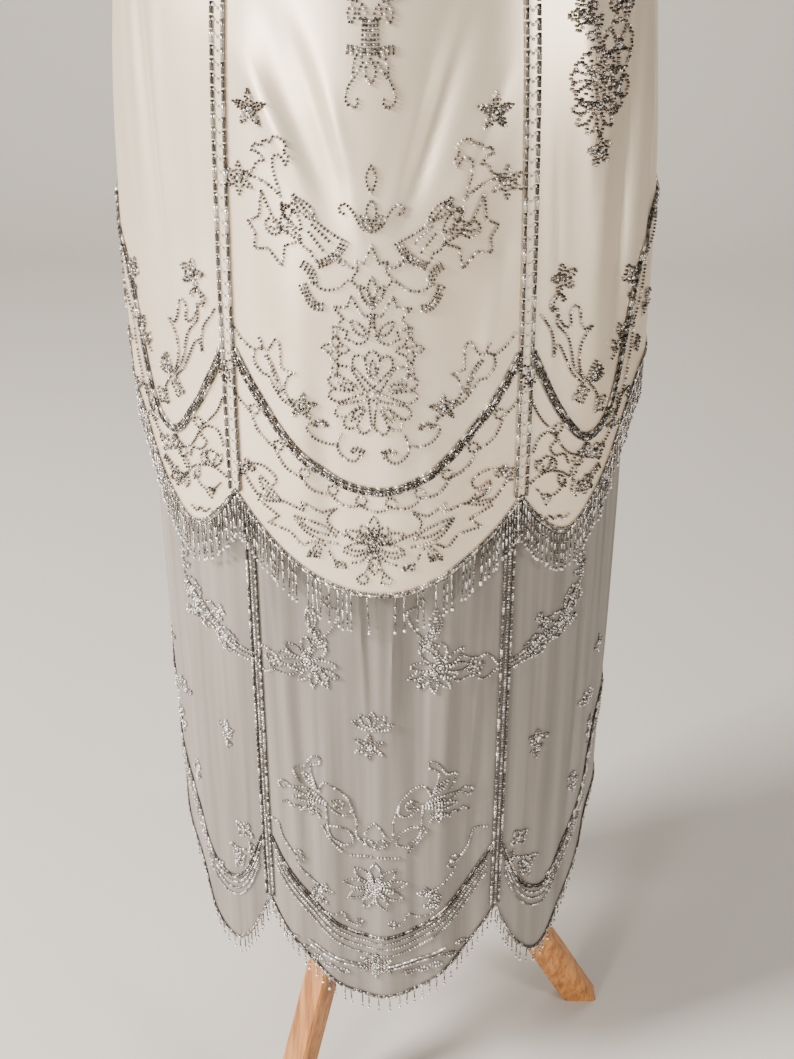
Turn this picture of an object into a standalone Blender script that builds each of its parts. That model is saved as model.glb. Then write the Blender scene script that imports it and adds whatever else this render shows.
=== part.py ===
"""Beaded wedding dress of the 1920s, standing on a limbless dress form with a tripod stand.

Metres, +Z up. The front of the dress faces -Y and the floor is at Z = 0. The cloth is laid out
on a tube: an angle goes round it (0 at centre front, 90 at the +X side, 180 at centre back) and
a path length runs up it, which equals the height up to the chest and follows the shoulder above.
"""

import math
from collections import namedtuple

import bmesh
import bpy
import numpy as np
from mathutils import Vector

# Seams and walls
SEAM_GAP = 0.0003
SATIN_WALL = 0.0012
GEORGETTE_WALL = 0.0010
TRIM_LIFT = 0.0004
LADDER_HALF_WIDTH = 0.0055
LADDER_THICKNESS = 0.0014
SWAG_HALF_WIDTH = 0.0028
SWAG_CLEAR = 0.0065
SWAG_LIFT = 0.0008
SWAG_THICKNESS = 0.0016
SWAG_POINT_ROOM = 0.3

# Cut of the panels
SEAM_ANGLE = 31.5
SIDE_ANGLE = 90.0
FRONT_COLUMNS = 16
SIDE_COLUMNS = 10
GEORGETTE_EXTRA_COLUMNS = 4
NECK_COLUMNS = 7
SHOULDER_COLUMNS = 2
NECK_ANGLE = SEAM_ANGLE * NECK_COLUMNS / (FRONT_COLUMNS // 2)
SHOULDER_ANGLE = SEAM_ANGLE + (SIDE_ANGLE - SEAM_ANGLE) * SHOULDER_COLUMNS / SIDE_COLUMNS
NECK_CURVE = 1.25
ARMHOLE_CURVE = 1.3
ANGLE_SLACK = 0.01
PANEL_SLACK = 0.1

# Levels up the dress
CHEST = 1.280
SHOULDER_RISE = 0.115
SHOULDER_SLOPE = 0.36
SHOULDER_PATH = 1.473
FRONT_NECK = 1.235
BACK_NECK = 1.315
ARMHOLE = 1.195
BUST = 1.160
SKIRT_SEAM = 0.885
GEORGETTE_FREE = 0.815
BODICE_ROWS = 8
HIP_ROWS = 3
SATIN_SKIRT_ROWS = 5
GEORGETTE_ROWS = 5

Section = namedtuple("Section", "height half_width half_depth")
SATIN_SECTIONS = (
    Section(0.560, 0.199, 0.149),
    Section(0.700, 0.198, 0.149),
    Section(0.850, 0.194, 0.148),
    Section(0.970, 0.187, 0.144),
    Section(1.070, 0.176, 0.134),
    Section(1.160, 0.171, 0.126),
    Section(1.240, 0.172, 0.122),
    Section(1.280, 0.173, 0.120),
    Section(1.340, 0.176, 0.120),
    Section(1.420, 0.182, 0.120),
)
GEORGETTE_SECTIONS = (
    Section(0.120, 0.187, 0.139),
    Section(0.400, 0.187, 0.139),
    Section(0.650, 0.186, 0.138),
    Section(0.800, 0.185, 0.138),
    Section(0.900, 0.184, 0.138),
)

# Hem and swag lines. A front panel's line is a parabola from its middle to the seam; a side
# panel's runs from the seam (share 0) to the side (share 1).
Edge = namedtuple("Edge", "middle side")
Mark = namedtuple("Mark", "share height")
SATIN_HEM = Edge(0.578, (
    Mark(0.00, 0.652), Mark(0.10, 0.628), Mark(0.22, 0.614), Mark(0.40, 0.640),
    Mark(0.60, 0.694), Mark(0.80, 0.724), Mark(1.00, 0.736),
))
SATIN_SWAG = Edge(0.667, (
    Mark(0.00, 0.774), Mark(0.15, 0.718), Mark(0.32, 0.688), Mark(0.45, 0.706),
    Mark(0.60, 0.785), Mark(0.80, 0.838), Mark(1.00, 0.856),
))
GEORGETTE_HEM = Edge(0.146, (
    Mark(0.00, 0.243), Mark(0.10, 0.200), Mark(0.24, 0.170), Mark(0.40, 0.190),
    Mark(0.60, 0.252), Mark(0.80, 0.302), Mark(1.00, 0.325),
))
GEORGETTE_SWAG = Edge(0.220, (
    Mark(0.00, 0.325), Mark(0.12, 0.268), Mark(0.27, 0.246), Mark(0.45, 0.278),
    Mark(0.65, 0.345), Mark(0.82, 0.405), Mark(1.00, 0.440),
))

# Soft folds of the satin: each runs from an upper to a lower end and bulges by its depth.
Fold = namedtuple("Fold", "top_angle foot_angle top foot half_angle depth")
SATIN_FOLDS = (
    Fold(-66, -45, 1.08, 0.76, 6, -0.0040),
    Fold(-56, -38, 0.98, 0.62, 6, 0.0030),
    Fold(-80, -68, 1.04, 0.66, 6, 0.0030),
    Fold(-24, -6, 1.02, 0.84, 6, -0.0030),
    Fold(-16, -15, 0.88, 0.60, 7, 0.0025),
    Fold(22, 4, 1.03, 0.85, 6, -0.0032),
    Fold(2, 6, 0.80, 0.56, 7, 0.0022),
    Fold(18, 20, 0.86, 0.58, 6, -0.0025),
    Fold(44, 50, 1.06, 0.70, 6, 0.0030),
    Fold(72, 58, 1.08, 0.74, 6, -0.0040),
    Fold(84, 78, 0.98, 0.66, 6, 0.0028),
    Fold(104, 118, 1.06, 0.68, 6, -0.0036),
    Fold(132, 128, 1.00, 0.66, 6, 0.0030),
    Fold(160, 172, 1.02, 0.74, 7, -0.0034),
    Fold(178, 182, 0.90, 0.58, 7, 0.0025),
    Fold(-164, -170, 0.98, 0.64, 6, 0.0028),
    Fold(-136, -124, 1.05, 0.70, 6, -0.0036),
    Fold(-112, -106, 1.00, 0.66, 6, 0.0030),
)
FOLD_OVERRUN = 0.3
FOLD_MIDDLE = 0.55
FOLD_REACH = 0.38

# Gathers of the georgette skirt, all the way round
GATHERS = 24
GATHER_DEPTH = 0.0026
GATHER_DRIFT = 0.9
GATHER_DRIFTS_ROUND = 3
GATHER_LEAN = 0.8

# Fringe
STRAND_HALF_WIDTH = 0.0007
FRINGE_DROP = 0.0007
FRINGE_BAND = 0.0034
SATIN_FRINGE = 0.036
GEORGETTE_FRINGE = 0.014
FRINGE_UNEVEN = 0.12
FRINGE_UNEVEN_TURN = 2.4

# Dress form and stand
FORM_COLUMN_STEP = 2
FORM_FOOT = 0.800
FORM_ROWS_BELOW = (1.080, 1.000, 0.920, 0.850, FORM_FOOT)
Slack = namedtuple("Slack", "path gap")
FORM_SLACK = (
    Slack(FORM_FOOT, 0.024), Slack(1.000, 0.020), Slack(BUST, 0.012), Slack(CHEST, 0.009),
    Slack(1.400, 0.008), Slack(1.450, 0.005), Slack(SHOULDER_PATH, SATIN_WALL + SEAM_GAP),
)
FORM_SHOULDER_ROUND = 0.10
NECK_RADIUS = 0.054
NECK_FOOT = 1.330
NECK_TOP = 1.468
NECK_SIDES = 24
NECK_TAPER = 0.94
FORM_MERGE = 0.0002
Ring = namedtuple("Ring", "radius rise")
NECK_CAP = (
    Ring(NECK_RADIUS * 0.97, 0.0), Ring(NECK_RADIUS * 1.02, 0.004),
    Ring(NECK_RADIUS * 0.97, 0.010), Ring(0.022, 0.014), Ring(0.011, 0.019),
    Ring(0.010, 0.026), Ring(0.017, 0.034), Ring(0.019, 0.043), Ring(0.014, 0.053),
    Ring(0.005, 0.058),
)
POLE_RADIUS = 0.016
POLE_SIDES = 20
HUB_ACROSS_FLATS = 0.060
HUB_LOW = 0.262
HUB_HIGH = 0.338
HUB_CHAMFER = 0.006
FOOT_RADIUS = 0.195
LEG_TOP = 0.300
LEG_BEND_RADIUS = 0.080
LEG_BEND_HEIGHT = 0.205
LEG_HALF_WIDTH = 0.0115
LEG_HALF_HEIGHT = 0.0145
LEG_CHAMFER = 0.0025
LEG_STATIONS = (0.0, 0.17, 0.31, 0.45, 0.60, 0.75, 0.90, 1.0)
LEG_TURNS = {"leg_front_left": -28.0, "leg_right": 92.0, "leg_back_left": -148.0}

NORMAL_STEP = 0.0005
NORMAL_TURN = 0.05

Finish = namedtuple("Finish", "colour roughness metallic")
FINISHES = {
    "satin": Finish((0.84, 0.78, 0.70), 0.42, 0.0),
    "georgette": Finish((0.46, 0.43, 0.39), 0.60, 0.0),
    "beads": Finish((0.42, 0.42, 0.43), 0.22, 0.6),
    "linen": Finish((0.72, 0.66, 0.56), 0.85, 0.0),
    "wood": Finish((0.58, 0.25, 0.07), 0.35, 0.0),
}


def clear_scene():
    """Remove every object, so that only the model is left."""
    for old in list(bpy.data.objects):
        bpy.data.objects.remove(old, do_unlink=True)


def make_finishes():
    """Make one Principled material for each finish and return them by name."""
    made = {}
    for name, finish in FINISHES.items():
        material = bpy.data.materials.new(name)
        material.use_nodes = True
        shader = material.node_tree.nodes["Principled BSDF"]
        shader.inputs["Base Color"].default_value = (*finish.colour, 1.0)
        shader.inputs["Roughness"].default_value = finish.roughness
        shader.inputs["Metallic"].default_value = finish.metallic
        made[name] = material
    return made


def read_smooth(places, values, place):
    """Read a table at a place, along a smooth curve through its rows."""
    places = np.asarray(places, float)
    values = np.asarray(values, float)
    place = min(max(place, places[0]), places[-1])
    row = min(int(np.searchsorted(places, place, side="right")) - 1, len(places) - 2)
    slopes = np.gradient(values, places)
    step = places[row + 1] - places[row]
    share = (place - places[row]) / step
    near = (1.0 + 2.0 * share) * (1.0 - share) ** 2
    near_slope = share * (1.0 - share) ** 2
    far = share ** 2 * (3.0 - 2.0 * share)
    far_slope = share ** 2 * (share - 1.0)
    return float(near * values[row] + near_slope * step * slopes[row]
                 + far * values[row + 1] + far_slope * step * slopes[row + 1])


def read_sections(sections, height):
    """Half width and half depth of a tube at a height."""
    heights = [section.height for section in sections]
    half_width = read_smooth(heights, [section.half_width for section in sections], height)
    half_depth = read_smooth(heights, [section.half_depth for section in sections], height)
    return half_width, half_depth


def fold_angle(angle):
    """Angle from centre front or centre back to the nearest side, 0 to 90."""
    turned = abs((angle + 180.0) % 360.0 - 180.0)
    return min(turned, 180.0 - turned)


def read_edge(edge, angle):
    """Height of a hem or swag line at an angle."""
    turned = fold_angle(angle)
    seam = edge.side[0].height
    if turned <= SEAM_ANGLE:
        return edge.middle + (seam - edge.middle) * (turned / SEAM_ANGLE) ** 2
    share = (turned - SEAM_ANGLE) / (SIDE_ANGLE - SEAM_ANGLE)
    return read_smooth([mark.share for mark in edge.side],
                       [mark.height for mark in edge.side], share)


def tube_point(half_width, half_depth, angle, height, bulge):
    """Point of an oval tube, moved out along the oval's normal by the bulge."""
    turn = math.radians(angle)
    out = Vector((math.sin(turn) / half_width, -math.cos(turn) / half_depth, 0.0)).normalized()
    base = Vector((half_width * math.sin(turn), -half_depth * math.cos(turn), height))
    return base + out * bulge


def satin_bulge(angle, height):
    """How far the satin's soft folds stand out at a place."""
    bulge = 0.0
    for fold in SATIN_FOLDS:
        along = (fold.top - height) / (fold.top - fold.foot)
        if not -FOLD_OVERRUN < along < 1.0 + FOLD_OVERRUN:
            continue
        ends = math.exp(-((along - FOLD_MIDDLE) / FOLD_REACH) ** 4)
        middle = fold.top_angle + (fold.foot_angle - fold.top_angle) * along
        away = (angle - middle + 180.0) % 360.0 - 180.0
        bulge += fold.depth * ends * math.exp(-(away / fold.half_angle) ** 2)
    return bulge


def satin_point(angle, path):
    """Outer surface of the satin: a tube that closes over the shoulders."""
    if path <= CHEST:
        half_width, half_depth = read_sections(SATIN_SECTIONS, path)
        return tube_point(half_width, half_depth, angle, path, satin_bulge(angle, path))
    climb = math.radians(90.0) * (path - CHEST) / (SHOULDER_PATH - CHEST)
    height = CHEST + SHOULDER_RISE * math.sin(climb)
    half_width, half_depth = read_sections(SATIN_SECTIONS, height)
    turn = math.radians(angle)
    across = half_width * math.sin(turn)
    neck_side = half_width * math.sin(math.radians(NECK_ANGLE))
    fall = SHOULDER_SLOPE * (abs(across) - neck_side) * math.sin(climb) ** 2
    return Vector((across, -half_depth * math.cos(climb) * math.cos(turn), height - fall))


def georgette_bulge(angle, height):
    """How far the gathers of the georgette stand out at a place."""
    turn = math.radians(angle)
    drift = GATHER_DRIFT * math.sin(GATHER_DRIFTS_ROUND * turn + GATHER_LEAN)
    lean = GATHER_LEAN * height * math.sin(2.0 * turn)
    opening = min(1.0, max(0.0, (SKIRT_SEAM - height) / (SKIRT_SEAM - GEORGETTE_FREE)))
    return GATHER_DEPTH * opening * math.sin(GATHERS * turn + drift + lean)


def georgette_point(angle, height):
    """Outer surface of the georgette skirt."""
    half_width, half_depth = read_sections(GEORGETTE_SECTIONS, height)
    return tube_point(half_width, half_depth, angle, height, georgette_bulge(angle, height))


def normal_at(surface, angle, path):
    """Outward normal of a surface, from small steps along and round it."""
    along = surface(angle, path + NORMAL_STEP) - surface(angle, path - NORMAL_STEP)
    around = surface(angle + NORMAL_TURN, path) - surface(angle - NORMAL_TURN, path)
    return around.cross(along).normalized()


def satin_top(angle):
    """Path length of the satin's top edge: neck, shoulder seam or armhole."""
    turned = fold_angle(angle)
    neck = FRONT_NECK if abs(angle) < SIDE_ANGLE else BACK_NECK
    shoulder = SHOULDER_PATH - SEAM_GAP
    if turned <= NECK_ANGLE:
        return neck + (shoulder - neck) * (turned / NECK_ANGLE) ** NECK_CURVE
    if turned <= SHOULDER_ANGLE + ANGLE_SLACK:
        return shoulder
    share = (SIDE_ANGLE - turned) / (SIDE_ANGLE - SHOULDER_ANGLE)
    return ARMHOLE + (shoulder - ARMHOLE) * share ** ARMHOLE_CURVE


def satin_paths(angle):
    """Path lengths of a satin panel's rows at an angle, from its top edge to the hem."""
    hem = read_edge(SATIN_HEM, angle)
    bodice = np.linspace(satin_top(angle), BUST, BODICE_ROWS + 1)
    hip = np.linspace(BUST, SKIRT_SEAM, HIP_ROWS + 1)[1:]
    skirt = np.linspace(SKIRT_SEAM, hem, SATIN_SKIRT_ROWS + 1)[1:]
    return np.concatenate([bodice, hip, skirt])


def georgette_paths(angle):
    """Heights of a georgette panel's rows at an angle, from its seam to the hem."""
    hem = read_edge(GEORGETTE_HEM, angle)
    skirt = np.linspace(GEORGETTE_FREE, hem, GEORGETTE_ROWS + 1)
    return np.concatenate([[SKIRT_SEAM], skirt])


Panel = namedtuple("Panel", "angles paths outer inner leans")
PanelCut = namedtuple("PanelCut", "name start end columns")


def panel_cuts(layer, front_columns, side_columns):
    """The six panels of a layer, in order round the tube."""
    back_seam = 180.0 - SEAM_ANGLE
    return (
        PanelCut(f"{layer}_front", -SEAM_ANGLE, SEAM_ANGLE, front_columns),
        PanelCut(f"{layer}_side_front_right", SEAM_ANGLE, SIDE_ANGLE, side_columns),
        PanelCut(f"{layer}_side_back_right", SIDE_ANGLE, back_seam, side_columns),
        PanelCut(f"{layer}_back", back_seam, 360.0 - back_seam, front_columns),
        PanelCut(f"{layer}_side_back_left", 360.0 - back_seam, 360.0 - SIDE_ANGLE, side_columns),
        PanelCut(f"{layer}_side_front_left", -SIDE_ANGLE, -SEAM_ANGLE, side_columns),
    )


def lay_panel(cut, surface, row_paths, wall):
    """Points of a panel's outer and inner faces, parted from its neighbours at the seams."""
    half_gap = math.degrees(SEAM_GAP / 2.0 / SATIN_SECTIONS[0].half_depth)
    angles = np.linspace(cut.start, cut.end, cut.columns + 1)
    angles[0] += half_gap
    angles[-1] -= half_gap
    paths = np.array([row_paths(signed(angle)) for angle in angles]).T
    outer = [[surface(angle, path) for angle, path in zip(angles, row)] for row in paths]
    inner = []
    for row, outer_row in zip(paths, outer):
        inner.append([point - normal_at(surface, angle, path) * wall
                      for angle, path, point in zip(angles, row, outer_row)])
    leans = [leans_back((near + far) / 2.0) for near, far in zip(angles, angles[1:])]
    return Panel(angles, paths, outer, inner, leans)


def leans_back(angle):
    """Whether a column's cells are split along their other diagonal, as its top edge asks."""
    turn = math.radians(angle)
    rising = math.sin(turn) * math.cos(turn) > 0.0
    beside_armhole = fold_angle(angle) > SHOULDER_ANGLE
    return rising == beside_armhole


def signed(angle):
    """The same angle between -180 and 180."""
    return (angle + 180.0) % 360.0 - 180.0


def hang_from(panel, backing_panels):
    """Move a georgette panel's top row to just inside the satin's inner face."""
    for column, angle in enumerate(panel.angles):
        seat, out = inner_face_at(backing_panels, angle)
        panel.outer[0][column] = seat - out * SEAM_GAP
        panel.inner[0][column] = seat - out * (SEAM_GAP + GEORGETTE_WALL)


def inner_face_at(panels, angle):
    """Point of the satin's inner face on its skirt seam row, and the way out from it."""
    row = BODICE_ROWS + HIP_ROWS
    for panel in panels:
        turned = angle
        if turned < panel.angles[0] - PANEL_SLACK:
            turned += 360.0
        if not panel.angles[0] - PANEL_SLACK <= turned <= panel.angles[-1] + PANEL_SLACK:
            continue
        column = float(np.interp(turned, panel.angles, range(len(panel.angles))))
        near = min(int(column), len(panel.angles) - 2)
        seat = panel.inner[row][near].lerp(panel.inner[row][near + 1], column - near)
        return seat, normal_at(satin_point, turned, SKIRT_SEAM)
    raise ValueError(f"no satin panel at {angle}")


def make_object(name, points, faces, material):
    """Make a closed mesh object from points and faces."""
    mesh = bpy.data.meshes.new(name)
    mesh.from_pydata([tuple(point) for point in points], [], faces)
    mesh.materials.append(material)
    shape = bmesh.new()
    shape.from_mesh(mesh)
    bmesh.ops.recalc_face_normals(shape, faces=shape.faces)
    shape.to_mesh(mesh)
    shape.free()
    made = bpy.data.objects.new(name, mesh)
    bpy.context.collection.objects.link(made)
    return made


def make_wall(name, outer, inner, material, leans=None):
    """Close two grids of points into a wall. A column that leans is split the other way."""
    rows = len(outer)
    columns = len(outer[0])
    leans = leans or [False] * (columns - 1)
    points = [point for row in outer for point in row] + [point for row in inner for point in row]
    back = rows * columns
    faces = []
    for row in range(rows - 1):
        for column in range(columns - 1):
            corner = row * columns + column
            below = corner + columns
            cell = ((corner, corner + 1, below + 1), (corner, below + 1, below))
            if leans[column]:
                cell = ((corner, corner + 1, below), (corner + 1, below + 1, below))
            for face in cell:
                faces.append(face)
                faces.append(tuple(back + index for index in reversed(face)))
    rim = [column for column in range(columns)]
    rim += [row * columns + columns - 1 for row in range(1, rows)]
    rim += [(rows - 1) * columns + column for column in range(columns - 2, -1, -1)]
    rim += [row * columns for row in range(rows - 2, 0, -1)]
    for here, after in zip(rim, rim[1:] + rim[:1]):
        faces.append((here, after, back + after, back + here))
    return make_object(name, points, faces, material)


def on_panel(panel, row, column):
    """Point of a panel's outer face at a fractional row and column, on its split cells."""
    top = min(int(row), len(panel.outer) - 2)
    left = min(int(column), len(panel.outer[0]) - 2)
    down = row - top
    across = column - left
    corner = panel.outer[top][left]
    beside = panel.outer[top][left + 1]
    below = panel.outer[top + 1][left]
    far = panel.outer[top + 1][left + 1]
    if panel.leans[left]:
        if across + down <= 1.0:
            return corner + (beside - corner) * across + (below - corner) * down
        return far + (below - far) * (1.0 - across) + (beside - far) * (1.0 - down)
    if across >= down:
        return corner + (beside - corner) * across + (far - beside) * down
    return corner + (below - corner) * down + (far - below) * across


def place_on_panel(panel, surface, angle, path):
    """Point of a panel's outer face at an angle and path, and the way out from it."""
    column = float(np.interp(angle, panel.angles, range(len(panel.angles))))
    left = min(int(column), len(panel.angles) - 2)
    share = column - left
    rows = panel.paths[:, left] * (1.0 - share) + panel.paths[:, left + 1] * share
    row = float(np.interp(-path, -rows, range(len(rows))))
    return on_panel(panel, row, column), normal_at(surface, angle, path)


def make_ladder(name, left, right, surface, first_row, last_row, material):
    """Raised beaded ladder over the seam of two panels, made from their points moved out."""
    low = []
    high = []
    for row in range(first_row, last_row + 1):
        edge_left = left.outer[row][-1]
        edge_right = right.outer[row][0]
        share_left = LADDER_HALF_WIDTH / (edge_left - left.outer[row][-2]).length
        share_right = LADDER_HALF_WIDTH / (edge_right - right.outer[row][1]).length
        places = (
            edge_left.lerp(left.outer[row][-2], share_left),
            edge_left.lerp(edge_right, 0.5),
            edge_right.lerp(right.outer[row][1], share_right),
        )
        out = normal_at(surface, left.angles[-1], left.paths[row][-1])
        low.append([place + out * TRIM_LIFT for place in places])
        high.append([place + out * (TRIM_LIFT + LADDER_THICKNESS) for place in places])
    return make_wall(name, high, low, material)


def make_swag(name, panel, surface, edge, ladder_start, ladder_end, material):
    """Thick beaded swag across a panel, made from its points moved out."""
    first, last = panel.angles[0], panel.angles[-1]
    start = first + degrees_round(surface, first, read_edge(edge, signed(first)),
                                  SWAG_CLEAR if ladder_start else SEAM_GAP)
    end = last - degrees_round(surface, last, read_edge(edge, signed(last)),
                               SWAG_CLEAR if ladder_end else SEAM_GAP)
    low = [[], []]
    high = [[], []]
    for angle in swag_angles(panel.angles, start, end):
        middle = read_edge(edge, signed(angle))
        for side, path in enumerate((middle + SWAG_HALF_WIDTH, middle - SWAG_HALF_WIDTH)):
            place, out = place_on_panel(panel, surface, angle, path)
            low[side].append(place + out * SWAG_LIFT)
            high[side].append(place + out * (SWAG_LIFT + SWAG_THICKNESS))
    return make_wall(name, high, low, material)


def degrees_round(surface, angle, path, distance):
    """Angle that covers a distance round a surface."""
    return distance / (surface(angle + 0.5, path) - surface(angle - 0.5, path)).length


def swag_angles(angles, start, end):
    """Angles of a swag's points: its two ends and the panel's columns between them."""
    step = (angles[2] - angles[1]) * SWAG_POINT_ROOM
    inside = [angle for angle in angles if start + step < angle < end - step]
    return [start, *inside, end]


def hem_places(panels):
    """Outer and inner hem points all round, with a strand marked between each close pair."""
    places = []
    for panel in panels:
        last = len(panel.angles) - 1
        outer = panel.outer[-1]
        inner = panel.inner[-1]
        places.append((outer[0], inner[0], False))
        for column in range(1, last):
            for side in (-1, 1):
                share = STRAND_HALF_WIDTH / (outer[column + side] - outer[column]).length
                places.append((
                    outer[column].lerp(outer[column + side], share),
                    inner[column].lerp(inner[column + side], share),
                    side < 0,
                ))
        places.append((outer[last], inner[last], False))
    return places


def make_fringe(name, panels, length, material):
    """Fringe all round a hem: a narrow band under the edge, with strands fused into it."""
    places = hem_places(panels)
    gap = Vector((0.0, 0.0, -FRINGE_DROP))
    band = Vector((0.0, 0.0, -FRINGE_DROP - FRINGE_BAND))
    points = []
    for outer, inner, _ in places:
        points += [outer + gap, inner + gap, inner + band, outer + band]
    faces = []
    count = len(places)
    for place, (_, _, strand) in enumerate(places):
        here = place * 4
        after = (place + 1) % count * 4
        for side in range(4):
            turn = (side + 1) % 4
            if strand and side == 2:
                continue
            faces.append((here + side, here + turn, after + turn, after + side))
        if strand:
            uneven = 1.0 - FRINGE_UNEVEN * (0.5 + 0.5 * math.sin(place * FRINGE_UNEVEN_TURN))
            corners = [here + 2, here + 3, after + 3, after + 2]
            lowest = min(points[corner].z for corner in corners) - length * uneven
            tips = []
            for corner in corners:
                tips.append(len(points))
                points.append(Vector((points[corner].x, points[corner].y, lowest)))
            for side in range(4):
                turn = (side + 1) % 4
                faces.append((corners[side], corners[turn], tips[turn], tips[side]))
            faces.append(tuple(reversed(tips)))
    return make_object(name, points, faces, material)


def make_layer(layer, surface, row_paths, wall, columns):
    """Lay out the six panels of a layer and return them with their names."""
    laid = {}
    for cut in panel_cuts(layer, *columns):
        laid[cut.name] = lay_panel(cut, surface, row_paths, wall)
    return laid


def make_trim(layer, laid, surface, edge, first_row, material):
    """Ladders over the four beaded seams and a swag on each panel."""
    panels = list(laid.values())
    seams = {"front_right": 0, "back_right": 2, "back_left": 3, "front_left": 5}
    last_row = len(panels[0].outer) - 1
    for place, index in seams.items():
        after = panels[(index + 1) % len(panels)]
        make_ladder(f"{layer}_ladder_{place}", panels[index], after, surface,
                    first_row, last_row, material)
    for name, panel in laid.items():
        middle = name in (f"{layer}_front", f"{layer}_back")
        toward_seam = name.endswith(("front_right", "back_left"))
        starts = middle or toward_seam
        ends = middle or not toward_seam
        make_swag(name.replace(layer, f"{layer}_swag"), panel, surface, edge,
                  starts, ends, material)


def form_slack(path):
    """How far the dress form stays inside the satin at a path length."""
    return read_smooth([slack.path for slack in FORM_SLACK],
                       [slack.gap for slack in FORM_SLACK], path)


def form_point(angle, path):
    """Surface of the dress form: the satin's shape without its folds, moved in."""
    if path <= CHEST:
        half_width, half_depth = read_sections(SATIN_SECTIONS, path)
        return tube_point(half_width, half_depth, angle, path, -form_slack(path))
    on_cloth = satin_point(angle, path)
    place = on_cloth - normal_at(satin_point, angle, path) * form_slack(path)
    climb = (path - CHEST) / (SHOULDER_PATH - CHEST)
    past = max(0.0, fold_angle(angle) - SHOULDER_ANGLE) / (SIDE_ANGLE - SHOULDER_ANGLE)
    place.x *= 1.0 - FORM_SHOULDER_ROUND * climb * past ** 2
    return place


def make_form(material):
    """Limbless torso of the dress form, closed at the shoulders and fused with its neck."""
    angles = []
    for cut in panel_cuts("form", FRONT_COLUMNS, SIDE_COLUMNS):
        columns = np.linspace(cut.start, cut.end, cut.columns + 1)[:-1]
        angles += list(columns[::FORM_COLUMN_STEP])
    shoulder_rows = np.linspace(SHOULDER_PATH, BUST, BODICE_ROWS + 1)
    paths = [*shoulder_rows, *FORM_ROWS_BELOW]
    count = len(angles)
    points = [form_point(angle, path) for path in paths for angle in angles]
    for index in range(count):
        points[index].y = 0.0
    faces = []
    for row in range(len(paths) - 1):
        for column in range(count):
            here = row * count + column
            beside = row * count + (column + 1) % count
            faces.append((here, beside, beside + count, here + count))
    faces.append(tuple(range((len(paths) - 1) * count, len(paths) * count)))
    torso = make_object("form_torso", points, faces, material)
    shape = bmesh.new()
    shape.from_mesh(torso.data)
    bmesh.ops.remove_doubles(shape, verts=shape.verts, dist=FORM_MERGE)
    bmesh.ops.recalc_face_normals(shape, faces=shape.faces)
    shape.to_mesh(torso.data)
    shape.free()
    profile = ((NECK_RADIUS, NECK_FOOT), (NECK_RADIUS * NECK_TAPER, NECK_TOP))
    neck = make_turned("neck_cutter", profile, NECK_SIDES, material)
    neck.hide_render = True
    neck.display_type = "WIRE"
    union = torso.modifiers.new("neck", "BOOLEAN")
    union.operation = "UNION"
    union.solver = "EXACT"
    union.object = neck
    return torso


def make_turned(name, profile, sides, material, turn=0.0):
    """Solid turned round the Z axis from a profile of radius and height, low to high."""
    points = []
    for radius, height in profile:
        for side in range(sides):
            angle = turn + math.tau * side / sides
            points.append((radius * math.cos(angle), radius * math.sin(angle), height))
    faces = [tuple(range(sides - 1, -1, -1))]
    for ring in range(len(profile) - 1):
        for side in range(sides):
            here = ring * sides + side
            beside = ring * sides + (side + 1) % sides
            faces.append((here, beside, beside + sides, here + sides))
    faces.append(tuple(range((len(profile) - 1) * sides, len(profile) * sides)))
    return make_object(name, points, faces, material)


def make_hub(material):
    """Six-sided block that carries the legs on three of its flats."""
    radius = HUB_ACROSS_FLATS / 2.0 / math.cos(math.pi / 6.0)
    small = radius - HUB_CHAMFER
    profile = (
        (small, HUB_LOW),
        (radius, HUB_LOW + HUB_CHAMFER),
        (radius, HUB_HIGH - HUB_CHAMFER),
        (small, HUB_HIGH),
    )
    first_flat = math.radians(LEG_TURNS["leg_front_left"] - 90.0)
    return make_turned("stand_hub", profile, 6, material, first_flat + math.pi / 6.0)


def leg_section(share):
    """Middle, half height and its way in the leg's own upright plane, at a share of its length."""
    start = Vector((HUB_ACROSS_FLATS / 2.0 + SEAM_GAP, LEG_TOP))
    bend = Vector((LEG_BEND_RADIUS, LEG_BEND_HEIGHT))
    end = Vector((FOOT_RADIUS, 0.0))
    middle = start.lerp(bend, share).lerp(bend.lerp(end, share), share)
    run = (bend.lerp(end, share) - start.lerp(bend, share)).normalized()
    up = Vector((-run.y, run.x))
    if share == 0.0:
        up = Vector((0.0, 1.0))
    if share == 1.0:
        up = Vector((1.0, 0.0))
    stretch = abs(run.x * up.y - run.y * up.x)
    return middle, up / stretch


def make_leg(name, angle, material):
    """One wooden leg: a chamfered bar from the hub to a foot cut level with the floor."""
    turn = math.radians(angle)
    out = Vector((math.sin(turn), -math.cos(turn), 0.0))
    aside = Vector((math.cos(turn), math.sin(turn), 0.0))
    inset = LEG_HALF_WIDTH - LEG_CHAMFER
    reach = LEG_HALF_HEIGHT - LEG_CHAMFER
    corners = (
        (LEG_HALF_WIDTH, -reach), (LEG_HALF_WIDTH, reach),
        (inset, LEG_HALF_HEIGHT), (-inset, LEG_HALF_HEIGHT),
        (-LEG_HALF_WIDTH, reach), (-LEG_HALF_WIDTH, -reach),
        (-inset, -LEG_HALF_HEIGHT), (inset, -LEG_HALF_HEIGHT),
    )
    points = []
    for share in LEG_STATIONS:
        middle, up = leg_section(share)
        for across, rise in corners:
            radius = middle.x + up.x * rise
            height = middle.y + up.y * rise
            points.append(out * radius + aside * across + Vector((0.0, 0.0, height)))
    count = len(corners)
    faces = [tuple(range(count))]
    for station in range(len(LEG_STATIONS) - 1):
        for corner in range(count):
            here = station * count + corner
            beside = station * count + (corner + 1) % count
            faces.append((here, beside, beside + count, here + count))
    faces.append(tuple(range(len(points) - count, len(points))))
    return make_object(name, points, faces, material)


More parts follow.
